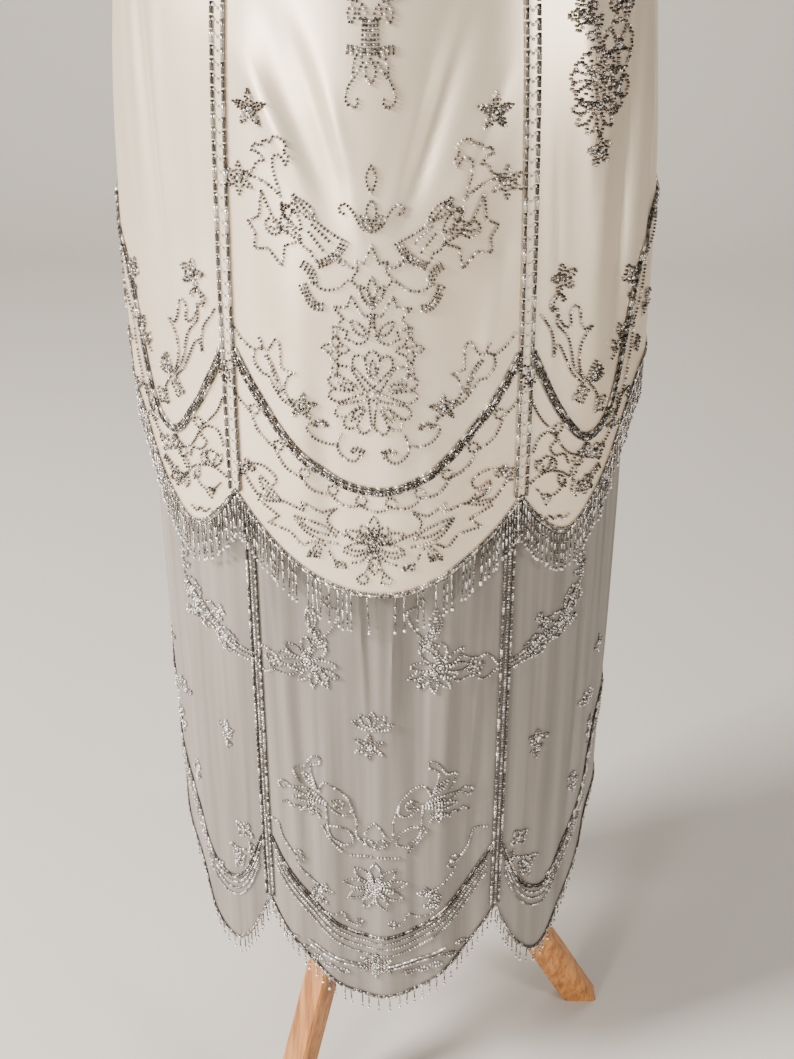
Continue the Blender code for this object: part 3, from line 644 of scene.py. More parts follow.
def grid_wall(outer: np.ndarray, inner: np.ndarray) -> tuple[np.ndarray, list[tuple[int, ...]]]:
    """Close two grids of points, top row first, into a wall.

    Args:
        outer: Outer face, rows by columns by three.
        inner: Inner face, of the same shape.

    Returns:
        Points and faces of the wall.
    """
    rows, columns = outer.shape[:2]
    back = rows * columns
    points = np.concatenate([outer.reshape(-1, 3), inner.reshape(-1, 3)])
    faces: list[tuple[int, ...]] = []
    for row in range(rows - 1):
        for column in range(columns - 1):
            here = row * columns + column
            below = here + columns
            faces.append((here, below, below + 1, here + 1))
            faces.append((back + here, back + here + 1, back + below + 1, back + below))
    rim = list(range(columns))
    rim += [row * columns + columns - 1 for row in range(1, rows)]
    rim += [(rows - 1) * columns + column for column in range(columns - 2, -1, -1)]
    rim += [row * columns for row in range(rows - 2, 0, -1)]
    for here, after in zip(rim, rim[1:] + rim[:1]):
        faces.append((here, after, back + after, back + here))
    return points, faces


def tube_faces(rings: int, sides: int, loop: bool = False) -> list[tuple[int, ...]]:
    """Faces over rings of points that run up a tube: with end caps, or joined into a loop."""
    faces = []
    for here in range(rings if loop else rings - 1):
        after = (here + 1) % rings
        for side in range(sides):
            beside = (side + 1) % sides
            faces.append((here * sides + side, here * sides + beside,
                          after * sides + beside, after * sides + side))
    if not loop:
        faces += [tuple(range(sides))[::-1], tuple(range((rings - 1) * sides, rings * sides))]
    return faces


def set_cut_map(piece: Object, places: np.ndarray) -> None:
    """Store each point's place on the flat cut, in metres, as the UV map named cut."""
    layer = piece.data.uv_layers.new(name="cut")
    corners = np.empty(len(piece.data.loops), np.int32)
    piece.data.loops.foreach_get("vertex_index", corners)
    layer.data.foreach_set("uv", places[corners].astype(np.float32).ravel())


def tube_along(name: str, line: np.ndarray, radius: float, material: Material,
               sides: int = 8) -> Object:
    """Round roll along a closed line.

    Args:
        name: Name of the piece.
        line: Points of the closed line.
        radius: Radius of the roll.
        material: Its finish.
        sides: Sides of the roll.

    Returns:
        The new object.
    """
    ahead = np.roll(line, -1, axis=0) - np.roll(line, 1, axis=0)
    ahead /= np.linalg.norm(ahead, axis=1, keepdims=True)
    middle = line.mean(axis=0)
    aside = np.cross(ahead, line - middle)
    aside /= np.linalg.norm(aside, axis=1, keepdims=True)
    rise = np.cross(aside, ahead)
    turns = np.linspace(0.0, math.tau, sides, endpoint=False)
    rings = (line[:, None] + radius * (np.cos(turns)[None, :, None] * rise[:, None]
                                       + np.sin(turns)[None, :, None] * aside[:, None]))
    made = make_mesh(name, rings.reshape(-1, 3), tube_faces(len(line), sides, True), material)
    set_cut_map(made, rings.reshape(-1, 3)[:, [0, 2]])
    return made


@dataclass(frozen=True)
class PanelCut:
    """One panel of a layer: its name and where it starts and ends round the tube."""

    name: str
    start: float
    end: float
    columns: int


@dataclass
class ClothLayer:
    """Six panels of one cloth, each a thin shell on its solid's form."""

    name: str
    tube: Tube
    top: Callable[[np.ndarray], np.ndarray]
    hem: Edge
    wall: float
    finish: Material
    held: str
    middle_columns: int = 66
    side_columns: int = 42
    rows: int = 98
    panels: dict[str, Object] = field(default_factory=dict)

    def cuts(self) -> tuple[PanelCut, ...]:
        """The six panels in order round the tube."""
        back_seam = 180.0 - SEAM_ANGLE
        middle, side = self.middle_columns, self.side_columns
        return (
            PanelCut("front", -SEAM_ANGLE, SEAM_ANGLE, middle),
            PanelCut("side_front_right", SEAM_ANGLE, SIDE_ANGLE, side),
            PanelCut("side_back_right", SIDE_ANGLE, back_seam, side),
            PanelCut("back", back_seam, 360.0 - back_seam, middle),
            PanelCut("side_back_left", 360.0 - back_seam, 360.0 - SIDE_ANGLE, side),
            PanelCut("side_front_left", -SIDE_ANGLE, -SEAM_ANGLE, side),
        )

    def flat_size(self, cut: PanelCut) -> tuple[tuple[float, float], float]:
        """Size and area of a panel's flat cut, worked out along the tube without its folds.

        Args:
            cut: The panel.

        Returns:
            Width and length of the piece of cloth that it is cut from, and its own area.
        """
        angles = np.linspace(cut.start, cut.end, 61)
        top, hem = self.top(angles), self.hem.at(angles)
        shares = np.linspace(0.0, 1.0, 81)[:, None]
        paths = top + (hem - top) * shares
        half_width, half_depth = self.tube.half_sizes(np.minimum(paths, CHEST))
        turns = np.radians(angles)
        speed = np.hypot(half_width * np.cos(turns), half_depth * np.sin(turns))
        widths = np.trapz(speed, turns, axis=1)
        area = float(np.trapz((top - hem) * speed.mean(axis=0), turns))
        return (float(widths.max()), float(top.max() - hem.min())), area

    def make_panel(self, cut: PanelCut) -> Object:
        """Build one panel's shell, with its place on the cut as its UV map."""
        angles = np.linspace(cut.start, cut.end, cut.columns + 1)
        half_gap = math.degrees(SHELL_GAP / 2.0 / SATIN_OVALS[0].half_depth)
        angles[0] += half_gap
        angles[-1] -= half_gap
        shares = np.linspace(0.0, 1.0, self.rows + 1)[:, None]
        top, hem = self.top(angles), self.hem.at(angles)
        paths = top + (hem - top) * shares
        grid = np.broadcast_to(angles, paths.shape)
        outer = self.tube.points(grid, paths)
        inner = outer - self.tube.normals(grid, paths) * self.wall
        points, faces = grid_wall(outer, inner)
        panel = make_mesh(f"{self.name}_{cut.name}_cloth", points, faces, self.finish)
        around = np.radians(grid) * SATIN_OVALS[0].half_depth
        places = np.stack([around, paths], axis=-1).reshape(-1, 2)
        set_cut_map(panel, np.concatenate([places, places]))
        return panel

    def build(self) -> None:
        """Build the six panels and let each stand for its solid."""
        for cut in self.cuts():
            panel = self.make_panel(cut)
            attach(panel, "root")
            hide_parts(f"{self.name}_{cut.name}")
            self.panels[cut.name] = panel
            LOG.info("%s: %d faces", panel.name, len(panel.data.polygons))

    def declare(self) -> None:
        """Log the size and area of each panel's flat cut.
        """
        for cut in self.cuts():
            flat, area = self.flat_size(cut)
            LOG.info("%s %s cut: %.3f x %.3f m, %.4f m2", self.name, cut.name, *flat, area)


def satin_top(angle: np.ndarray) -> np.ndarray:
    """Path length of the satin's top edge: neck, shoulder seam or armhole."""
    turned = fold_angle(angle)
    neck = np.where(np.abs(signed(angle)) < SIDE_ANGLE, FRONT_NECK, BACK_NECK)
    shoulder = SHOULDER_PATH - SHELL_GAP
    at_neck = neck + (shoulder - neck) * np.minimum(turned / NECK_ANGLE, 1.0) ** NECK_CURVE
    share = np.clip((SIDE_ANGLE - turned) / (SIDE_ANGLE - SHOULDER_ANGLE), 0.0, 1.0)
    at_arm = ARMHOLE + (shoulder - ARMHOLE) * share ** ARMHOLE_CURVE
    return np.where(turned <= SHOULDER_ANGLE, at_neck, at_arm)


def georgette_top(angle: np.ndarray) -> np.ndarray:
    """Path length of the georgette's seam inside the satin."""
    return np.full(np.shape(angle), SKIRT_SEAM)


class Bead(Enum):
    """Kinds of bead; the value is the number stored on a line of that kind."""

    SEED = 0
    BUGLE = 1
    DROP = 2


BeadLines = list[tuple[Bead, np.ndarray]]
Finishes = dict[Bead, Material]


@dataclass(frozen=True)
class Stroke:
    """Line of beads on the cloth, in millimetres across and up."""

    bead: Bead
    points: np.ndarray


@dataclass
class Motif:
    """Figure drawn with strokes, in millimetres on its own axes."""

    strokes: list[Stroke] = field(default_factory=list)

    def seeds(self, *lines: Line, bead: Bead = Bead.SEED) -> "Motif":
        """Add lines of beads, seed beads if no other kind is given."""
        self.strokes += [Stroke(bead, np.asarray(line, float)) for line in lines]
        return self

    def pearls(self, *places: Point) -> "Motif":
        """Add single larger beads."""
        self.strokes += [Stroke(Bead.DROP, np.array([place, (place[0] + 0.1, place[1])]))
                         for place in places]
        return self

    def placed(self, across: float, up: float, turn: float = 0.0, size: float = 1.0,
               flip: bool = False) -> "Motif":
        """The motif turned, sized and moved to its place.

        Args:
            across: Place across, in millimetres.
            up: Place up, in millimetres.
            turn: Turn in degrees, positive leftwards.
            size: Size against the motif's own.
            flip: Whether it is mirrored left to right first.

        Returns:
            A new motif.
        """
        mirror = np.array([-1.0 if flip else 1.0, 1.0])
        return Motif([
            Stroke(stroke.bead, (stroke.points * mirror * size) @ spin(turn) + (across, up))
            for stroke in self.strokes])

    def add(self, *others: "Motif") -> "Motif":
        """Add other motifs' strokes to this one."""
        for other in others:
            self.strokes += other.strokes
        return self

    def flipped(self) -> "Motif":
        """The motif's mirror image across the middle line."""
        return self.placed(0.0, 0.0, flip=True)

    def both_sides(self) -> "Motif":
        """The motif with its mirror image across the middle line."""
        return Motif(self.strokes + self.flipped().strokes)


def spin(degrees: float) -> np.ndarray:
    """Matrix that turns rows of points about the origin, positive leftwards."""
    angle = math.radians(degrees)
    return np.array([[math.cos(angle), math.sin(angle)], [-math.sin(angle), math.cos(angle)]])


def soft(*points: Point, steps: int = 8) -> np.ndarray:
    """Smooth curve through a few points."""
    path = np.array(points, float)
    ends = np.concatenate([[2 * path[0] - path[1]], path, [2 * path[-1] - path[-2]]])
    share = np.linspace(0.0, 1.0, steps, endpoint=False)[:, None]
    runs = []
    for before, here, after, beyond in zip(ends, ends[1:], ends[2:], ends[3:]):
        runs.append(0.5 * (2 * here + (after - before) * share
                           + (2 * before - 5 * here + 4 * after - beyond) * share ** 2
                           + (3 * here - before - 3 * after + beyond) * share ** 3))
    return np.concatenate([*runs, path[-1:]])


def bow(start: Point, end: Point, rise: float, steps: int = 14) -> np.ndarray:
    """Bowed line between two points that stands off to its left by a rise."""
    start, end = np.array(start, float), np.array(end, float)
    run = end - start
    left = np.array([-run[1], run[0]]) / max(np.hypot(*run), 1e-6)
    share = np.linspace(0.0, 1.0, steps)[:, None]
    return start + run * share + left * rise * 4.0 * share * (1.0 - share)


def scallops(start: Point, end: Point, lobes: int, depth: float, rise: float = 0.0) -> np.ndarray:
    """Row of round lobes along a bowed line; they stand off to its left by a depth."""
    base = bow(start, end, rise, lobes * 8 + 1)
    run = np.subtract(end, start)
    left = np.array([-run[1], run[0]]) / np.hypot(*run)
    share = np.linspace(0.0, 1.0, len(base))[:, None]
    return base + left * depth * np.abs(np.sin(math.pi * lobes * share))


def curl(start: Point, heading: float, radius: float, turns: float, tight: float = 0.3
         ) -> np.ndarray:
    """Line that sets off along a heading and winds up.

    Args:
        start: First point.
        heading: First direction in degrees, 0 to the right and 90 up.
        radius: First radius; it winds rightwards if negative.
        turns: Number of turns.
        tight: Last radius as a share of the first.

    Returns:
        Points of the line.
    """
    count = max(8, int(26 * turns))
    wound = np.linspace(0.0, turns * math.tau, count)
    shrink = 1.0 - (1.0 - tight) * wound / wound[-1]
    way = math.radians(heading) + math.copysign(1.0, radius) * wound
    step = abs(radius) * shrink * (wound[1] - wound[0])
    run = np.stack([np.cos(way) * step, np.sin(way) * step], axis=1)
    return np.array(start, float) + np.concatenate([[[0.0, 0.0]], np.cumsum(run, axis=0)[:-1]])


def ring(radius: float, across: float = 0.0, up: float = 0.0, share: float = 1.0) -> np.ndarray:
    """Circle, or the share of one that starts at its right."""
    turn = np.linspace(0.0, math.tau * share, max(8, int(20 * share)))
    return np.stack([across + radius * np.cos(turn), up + radius * np.sin(turn)], axis=1)


def petal(length: float, width: float, belly: float = 0.5) -> np.ndarray:
    """Closed pointed petal that stands up from the origin."""
    share = np.linspace(0.0, 1.0, 15)
    side = width / 2.0 * np.sin(math.pi * share ** (math.log(0.5) / math.log(belly)))
    up = length * share
    return np.concatenate([np.stack([side, up], 1), np.stack([-side, up], 1)[::-1]])


def lobed_petal(length: float, width: float, lobes: int = 3) -> np.ndarray:
    """Closed petal, narrow at the origin, with round lobes along its end."""
    half = math.atan2(width / 2.0, length * 0.6)
    turn = np.linspace(-half, half, lobes * 8 + 1)
    share = turn / half
    reach = length * (0.84 + 0.16 * np.abs(np.sin(lobes * math.pi * (share + 1.0) / 2.0)))
    reach *= 1.0 - 0.1 * share ** 2
    end = np.stack([reach * np.sin(turn), reach * np.cos(turn)], axis=1)
    root = np.array([(0.0, length * 0.15)])
    return np.concatenate([root, end, root])


def rows_along(line: np.ndarray, rows: int, gap: float = 2.1) -> list[np.ndarray]:
    """Parallel rows of a line, a gap apart and centred on it."""
    run = np.gradient(line, axis=0)
    left = np.stack([-run[:, 1], run[:, 0]], axis=1) / np.hypot(*run.T)[:, None]
    return [line + left * gap * (row - (rows - 1) / 2.0) for row in range(rows)]


def turned_copies(line: np.ndarray, angles: Iterable[float]) -> list[np.ndarray]:
    """Copies of a line turned about the origin, positive leftwards."""
    return [line @ spin(degrees) for degrees in angles]


def star(arms: int, reach: float, width: float, ribbed: bool = False) -> Motif:
    """Star of pointed petals, each with a middle row if ribbed."""
    turns = [360 * arm / arms for arm in range(arms)]
    figure = Motif().seeds(*turned_copies(petal(reach, width), turns))
    if ribbed:
        rib = np.array([(0, reach * 0.2), (0, reach * 0.85)])
        figure.seeds(*turned_copies(rib, turns))
    return figure.pearls((0, 0))


def daisy(petals: int, reach: float, width: float) -> Motif:
    """Flower of lobed petals, each with two veins and a small leaf in it, round a ring."""
    turns = [360 * one / petals for one in range(petals)]
    figure = Motif().seeds(*turned_copies(lobed_petal(reach, width), turns))
    third = math.atan2(width / 2, reach * 0.6) / 3
    for side in (-third, third) if reach > 18 else ():
        vein = np.outer((0.42, 0.8), (math.sin(side) * reach, math.cos(side) * reach))
        figure.seeds(*turned_copies(vein, turns))
    if reach > 24:
        inner = petal(reach * 0.42, width * 0.16) + (0, reach * 0.36)
        figure.seeds(*turned_copies(inner, turns), ring(reach * 0.13))
    return figure.pearls((0.8, 0.8), (-0.8, -0.8))


def fan(petals: int, reach: float, width: float, spread: float) -> Motif:
    """Fan of petals that opens upwards."""
    turns = np.linspace(-spread / 2, spread / 2, petals)
    return Motif().seeds(*turned_copies(petal(reach, width, 0.62), turns)).pearls((0, 0))


def spiky_leaf(reaches: Sequence[float], notch: float, spread: float = 300) -> np.ndarray:
    """Outline of a leaf with long points, ivy-like, that stands up from its stem.

    Args:
        reaches: Reach of each point, from left to right.
        notch: Reach of the notches between them.
        spread: Angle that the points take up.

    Returns:
        Open outline from the stem round to the stem.
    """
    turns = np.radians(np.linspace(spread / 2, -spread / 2, 2 * len(reaches) + 1))
    lengths = [notch * 0.5]
    for reach in reaches:
        lengths += [reach, notch]
    lengths[-1] = notch * 0.5
    lengths = np.array(lengths)
    return np.stack([-np.sin(turns) * lengths, np.cos(turns) * lengths], axis=1)


def crescent(radius: float, sweep: float, rows: int = 3, gap: float = 2) -> Motif:
    """Dense crescent of bead rows, its hollow side down."""
    figure = Motif()
    for row in range(rows):
        turn = np.radians(np.linspace(90 - sweep / 2 + row * 6, 90 + sweep / 2 - row * 6, 12))
        size = radius + row * gap
        figure.seeds(np.stack([size * np.cos(turn), size * np.sin(turn) - radius], axis=1))
    return figure


def bell(length: float, width: float) -> Motif:
    """Trumpet flower that opens upwards: lobed edge, two long loops, stamens and a dense rim."""
    half = width / 2
    figure = Motif().seeds(
        scallops((-half * 0.45, 0), (-half * 0.85, length * 0.78), 3, 2.6),
        bow((-half * 0.85, length * 0.78), (-half, length), 0.6),
        soft((half * 0.5, 0), (half * 0.42, length * 0.35), (half * 0.6, length * 0.7),
             (half, length)),
        [(-2.6, length * 0.55), (-3.6, length * 0.88)],
        [(2.2, length * 0.5), (3.6, length * 0.84)],
        *rows_along(bow((half, length), (-half, length), -2.5), 3),
    )
    loop = Motif().seeds(petal(length * 0.5, half * 0.62))
    return figure.add(loop.placed(-half * 0.35, -1, 4), loop.placed(half * 0.35, 0, -5))


def plume() -> Motif:
    """Feather-like hook: a stem that winds over, and a lobed edge that comes back outside it."""
    return Motif().seeds(
        soft((0, 0), (1.2, 6), (3.4, 13), (4.5, 20), (4, 25), (0.6, 27),
             (-2.4, 25.2), (-4.8, 20.9)),
        scallops((-4.8, 20.9), (-1.8, 37), 2, 2.6),
        scallops((-1.8, 37), (18.7, 28.2), 3, 3),
        bow((18.7, 28.2), (10.8, 22.3), -1.6), bow((10.8, 22.3), (17.5, 17), 1.6),
        bow((17.5, 17), (25, 14), -1), bow((0, 0), (25, 12), 3),
    )


def vine_leaf() -> Motif:
    """Long-pointed leaf with a wound-up vein in its middle and a double stem."""
    return Motif().seeds(
        spiky_leaf((27, 18, 19, 24, 20), 12.5), curl((3, -8), 60, 7, 1.4),
        bow((-3, -26), (4, -5), 4), bow((1, -27), (7, -8), 3),
    )


def lobed_sprig() -> Motif:
    """Leaf of uneven points on a looped stem, that hangs down towards the left."""
    return Motif().seeds(
        bow((-3.2, 9.2), (-5, 1.3), -1),
        soft((0, 0), (-4, 2.2), (-9.5, 1.3), (-12.7, 5.3), (-15.9, 10.6), (-19.7, 6.6),
             (-19.7, -9.2)),
        bow((-19.7, -9.2), (-29.8, -11.9), 0.5), bow((-29.8, -11.9), (-22.8, -19.8), 1.5),
        soft((-22.8, -19.8), (-21.6, -25), (-23.5, -31), (-27.3, -37)),
        soft((0, 0), (1.3, -7.9), (-4.4, -16.5), (-8.9, -17.2), (-13, -24), (-20, -33),
             (-27.3, -37)),
        *rows_along(bow((-8.5, -3), (-18.4, -27), -1), 2),
    )


def leaf(length: float, width: float, across: float, up: float, turn: float = 0) -> Motif:
    """Plain leaf of one petal at a place."""
    return Motif().seeds(petal(length, width)).placed(across, up, turn)


def sprig(reach: float = 24) -> Motif:
    """Small side sprig: a bowed stem with three leaves and a curl."""
    figure = Motif().seeds(bow((0, 0), (0, reach), -3))
    for up, turn in ((0.25, 52), (0.45, -50), (0.72, 38)):
        figure.add(leaf(reach * 0.42, reach * 0.2, 0.8, reach * up, turn))
    return figure.seeds(curl((0, reach), 80, -reach * 0.16, 0.8))


def leaf_scroll(length: float, leaves: int) -> Motif:
    """Scrolling stem that runs to the right, with leaves on both sides and a curl at its end."""
    stem = soft((0, 0), (length * 0.25, -4), (length * 0.5, 0), (length * 0.78, 5),
                (length, 2))
    figure = Motif().seeds(stem, curl((length, 2), -20, -5, 1.1))
    for place in range(leaves):
        at = stem[int((place + 0.6) / leaves * (len(stem) - 1))]
        figure.add(leaf(11, 5, at[0], at[1], -32 if place % 2 else -148))
    return figure.seeds(curl((2, -1), 230, 4.5, 0.9))


def palmette(height: float = 44, half_width: float = 13.5) -> Motif:
    """Standing leaf of five points with inner petals, over a spiky leaf on each side."""
    edge = [(0, 1), (0.36, 0.72), (0.81, 0.76), (0.66, 0.62), (1, 0.47), (0.58, 0.28),
            (0.22, 0.08), (0, 0)]
    outline = np.array(edge) * (half_width, height)
    half = Motif().seeds(
        outline, *turned_copies(petal(height * 0.42, 5.4, 0.6), (-24,)),
        [(0.5, -4), (6.4, -4.6), (9.5, 1.5), (14.1, 9.5), (16.5, 1.2), (26.3, 1.4), (19.2, -7),
         (24.8, -12.6), (16.5, -15.6), (18, -20.5)],
        soft((18, -20.5), (10, -24.2), (3.6, -21), (1.8, -12.6), (1.4, -4)),
        [(1.2, -3), (1.2, -12)],
    )
    half.add(leaf(16, 6, 4, -19.5, -42))
    return half.both_sides().seeds(petal(height * 0.52, 5.6, 0.6))


def crown() -> Motif:
    """Two hooks that leave a standing leaf, with a smaller pair inside them."""
    half = Motif().seeds(
        soft((0, -5), (4.5, -4), (8.5, 1), (12, 8), (16.5, 12.5), (20.5, 10.5),
             (20.5, 7), (17.8, 6)),
        soft((0.5, -2.5), (4.5, 0), (7, 5)), petal(8, 3.6) + (4.4, -3),
    )
    return half.both_sides().seeds(petal(16, 6.5))


def cross_flower(reach: float) -> Motif:
    """Small flower of four petals."""
    return star(4, reach, reach * 0.62)


def rosette() -> Motif:
    """Fan of pointed petals over a dark drop, with leaf arms, curls and barbs."""
    figure = Motif()
    for turn, reach in ((0, 23), (34, 18), (-34, 18), (66, 24), (-66, 24)):
        blade = Motif().seeds(petal(reach, 8, 0.55), petal(reach * 0.6, 3.6, 0.55))
        figure.add(blade.placed(0, 0, turn))
    half = Motif().seeds(
        petal(20, 6.5), soft((1, -4), (8, -9), (15, -11), (22, -8)),
        soft((3, -7), (9, -15), (16, -17)),
        soft((4, -20), (9, -27), (13, -31), (9, -35), (4.5, -32), (6, -28)),
    )
    figure.add(Motif(half.strokes[:1]).placed(1.5, -2, -98).both_sides(),
               Motif(half.strokes[1:]).both_sides())
    return figure.seeds(*[petal(22 * size, 9 * size, 0.6) * (1, -1) - (0, 4)
                          for size in (1, 0.72, 0.42)])


def side_spray() -> Motif:
    """Spray of the side panel: three stems from its foot to a lobed leaf, a hook and a knot."""
    return Motif().seeds(
        soft((0, 0), (-6, 9), (-8.5, 18), (-8, 30), (-4, 38), (0.5, 43),
             (-6, 41.5), (-9.5, 48), (-11, 57), (-15, 60), (-18, 55),
             (-17, 46.5), (-21, 45.5), (-26, 52), (-30, 60)),
        soft((-29, 60), (-28.5, 49), (-24, 44), (-18.5, 37), (-15.5, 27), (-12, 14), (-3, 3)),
        soft((-30.5, 26), (-28, 33), (-24, 31), (-19, 21), (-13, 9), (-4, 0)),
        soft((-42, 58), (-34, 46), (-31, 36), (-30.5, 27)),
        bow((0, 0), (14, -18), 1.5), bow((0, 0), (-4, -6), 0.5),
    ).add(
        crescent(4.6, 220, 2).placed(-31, 68, 30),
        fan(5, 17, 4.6, 56).placed(0, 0, -58),
        cross_flower(8).placed(-4.5, -9, 10), cross_flower(8).placed(16, -22, 35),
    )


def satin_front_motifs() -> Motif:
    """Whole figure of the satin's middle panel, from its top ornament to its hem."""
    half = Motif()
    half.add(
        star(5, 12, 4.6, ribbed=True).placed(78.5, 930), star(6, 11, 3.4).placed(88.5, 885),
        plume().placed(59.5, 876), vine_leaf().placed(66, 853, -135),
        bell(44, 24).placed(55, 874, 139),
        Motif().seeds(
            *rows_along(bow((26.5, 838.5), (18, 834.5), 0), 2),
            bow((18, 834), (12.5, 831.6), 0.5),
            *rows_along(bow((45.7, 832.5), (38.5, 820.6), -2), 3),
            soft((38.5, 819.5), (32.4, 816), (23.2, 817), (16, 822.6)),
            *rows_along(soft((45.7, 818.5), (43, 811), (38, 804.5), (33, 804)), 3),
        ),
        cross_flower(9.5).placed(25.2, 774.5, 4),
        Motif().seeds(*rows_along(bow((25.2, 764), (26.5, 757), 0), 2, 3),
                      *rows_along(bow((25.2, 790), (25.2, 783), 0), 2, 2.4)),
    )
    # Scrolls under the flower, and the leaf and star beside the ladder
    half.add(
        Motif().seeds(
            soft((22.2, 711), (25, 703), (23.5, 696), (18, 691), (12, 691), (9, 696), (6, 699)),
            soft((25.5, 703), (31.5, 702.5), (39.5, 705), (45.5, 711.5), (45.5, 717),
                 (39.5, 719), (33, 716.5)),
        ),
        crescent(2.6, 200, 2).placed(10.5, 699, 25),
        crescent(3, 170, 2).placed(36.5, 718.5, 0), lobed_sprig().placed(83, 767),
        star(5, 10.5, 4, ribbed=True).placed(49, 730.5, 6),
        Motif().seeds(bow((98, 781), (84, 767.5), 1.5)),
    )
    half.add(hem_scroll())
    figure = half.both_sides()
    figure.add(leaf(18, 6.4, 0, 881), crown().placed(0, 861),
               palmette().placed(0, 803), daisy(5, 32, 26).placed(0, 742),
               rosette().placed(0, 624), top_ornament().placed(0, 930))
    return figure.placed(-1.6, 0)


def hem_scroll() -> Motif:
    """Scroll of leaves and tufts between swag and hem, from the ladder to the middle."""
    figure = Motif().seeds(
        soft((96, 668), (88, 656), (80, 651), (66, 653)),
        soft((93, 679), (81, 679), (71, 671), (75, 664), (84, 670), (82, 661), (70, 654)),
        [(86, 650), (70, 640), (79, 633), (63, 629)],
        [(84, 655), (64, 653), (50, 648), (52, 656), (38, 647), (27, 651)],
        soft((27, 651), (34, 642), (30, 634), (16, 627)),
        soft((57, 640), (50, 631), (38, 624), (27, 622)),
        soft((60, 627), (53, 619), (45, 623), (36, 620)),
        curl((47, 611), 200, -6, 0.8), soft((33, 615), (30, 608), (22, 603)),
    )
    figure.add(
        fan(4, 8, 4, 220).placed(95, 674, -30),
        leaf(33, 7, 28, 628, -64), leaf(16, 5, 70, 655, -60),
        crescent(2.4, 220, 2).placed(45, 613), crescent(2.2, 200, 2).placed(25, 605),
    )
    return figure


def top_ornament() -> Motif:
    """Ornament over the middle: hooked tails and a leaf under a dense stalk, then a flower."""
    half = Motif().seeds(
        soft((4.6, 31), (6.5, 27.5), (9.5, 23), (13.5, 17), (15.4, 10.6), (14.5, 6.5),
             (11, 4), (8.2, 5.6), (8.2, 9.3)),
        soft((9.4, 33), (10.8, 28), (10.6, 22.5)),
        *rows_along(bow((4.5, 36), (14, 38.5), 0.5), 3),
        *rows_along(bow((2.1, 55), (3, 36), 0), 3),
    )
    for place, turn, reach in ((5, 176, 10), (11, 184, 11)):
        half.add(leaf(reach, 4.6, place, 64, turn))
    half.add(leaf(24, 9, 8, 66, -48))
    return half.both_sides().add(leaf(15, 6.5, 0, 33, 180),
                                 daisy(5, 25, 20).placed(0, 92),
                                 star(6, 10, 3.4).placed(0, 130))


def side_front_motifs() -> Motif:
    """Figures of a satin side panel, drawn for the right side."""
    figure = Motif().add(
        star(5, 11, 5.2, ribbed=True).placed(133, 814, 12),
        side_spray().placed(158, 733),
        sprig(24).placed(186, 742, -30),
        cross_flower(8).placed(205, 800, 20), sprig(22).placed(212, 776, 12),
    )
    # Leafy scroll between the swag and the hem
    figure.seeds(
        soft((115, 688), (119, 698), (127, 701), (134, 694), (129, 688),
             (134, 681), (142, 680), (146, 672)),
        soft((114, 663), (126, 669), (140, 666), (152, 656), (164, 645)),
        soft((118, 676), (126, 682), (131, 676), (126, 670)),
        soft((120, 656), (128, 648), (138, 650), (144, 658)),
        curl((150, 672), 60, -6, 1), curl((128, 642), 20, 5, 0.9),
        scallops((124, 634), (150, 628), 3, -3.6),
        *rows_along(bow((168, 652), (179, 659), 0.5), 3),
    )
    figure.add(*[leaf(13, 5.4, *place) for place in (
        (124, 669, 30), (134, 668, 15), (150, 658, -20),
        (138, 664, -150), (152, 654, -165))])
    figure.add(
        star(6, 9, 3.4).placed(165, 648), star(5, 7, 3.4).placed(162, 676),
        cross_flower(8).placed(176, 672, 20), leaf_scroll(34, 3).placed(184, 690, 34),
        cross_flower(7).placed(224, 742, 10), sprig(18).placed(232, 760, -25),
    )
    return figure


def corsage_cluster() -> Motif:
    """Dense flower cluster that lies on one side panel only."""
    figure = Motif().add(
        daisy(5, 19, 18).placed(148, 944, 10), daisy(5, 17, 16).placed(170, 960),
        fan(6, 21, 7, 150).placed(152, 928, 172), daisy(4, 14, 14).placed(170, 934),
        sprig(24).placed(150, 962, 20), sprig(22).placed(164, 976, -12),
        star(5, 11, 5.2, ribbed=True).placed(136, 983, 20),
        star(5, 10.5, 5.2, ribbed=True).placed(155, 897, 8),
        cross_flower(8).placed(178, 984), sprig(26).placed(170, 990, 8),
    )
    return figure.seeds(bow((150, 912), (154, 906), 1))


def plume_cluster() -> Motif:
    """Cluster of leaves about a joint: lobed leaves outside, a wound petal towards the middle."""
    figure = Motif().seeds(
        soft((22, 16), (27, 31), (18, 34), (12, 44), (5, 46), (5, 39), (12, 36), (12, 27), (9, 16)),
        soft((6, 11), (2, 20), (-4, 20), (-12, 14), (-19, 4), (-20, -8), (-12, -11), (-4, -4)),
        curl((-5, 3), 140, 6, 1.1),
        scallops((38, -8), (6, -17), 4, -4), curl((31, 12), 60, -6, 0.9),
        soft((0, -2), (-1, -20), (-3, -33), (-12, -42)),
        soft((1, -24), (-9, -23), (-18, -28), (-22, -40), (-12, -44)),
        soft((4, -26), (-3, -38), (-12, -50)),
        soft((-20, 0), (-25, -18), (-25, -33), (-33, -44)),
    )
    blade = Motif().seeds(petal(32, 8), petal(20, 3.4))
    return figure.add(blade.placed(0, 0, -68), blade.placed(0, -1, -86, 0.9),
                      blade.placed(8, 12, -38, 0.62), cross_flower(7).placed(13, -10))


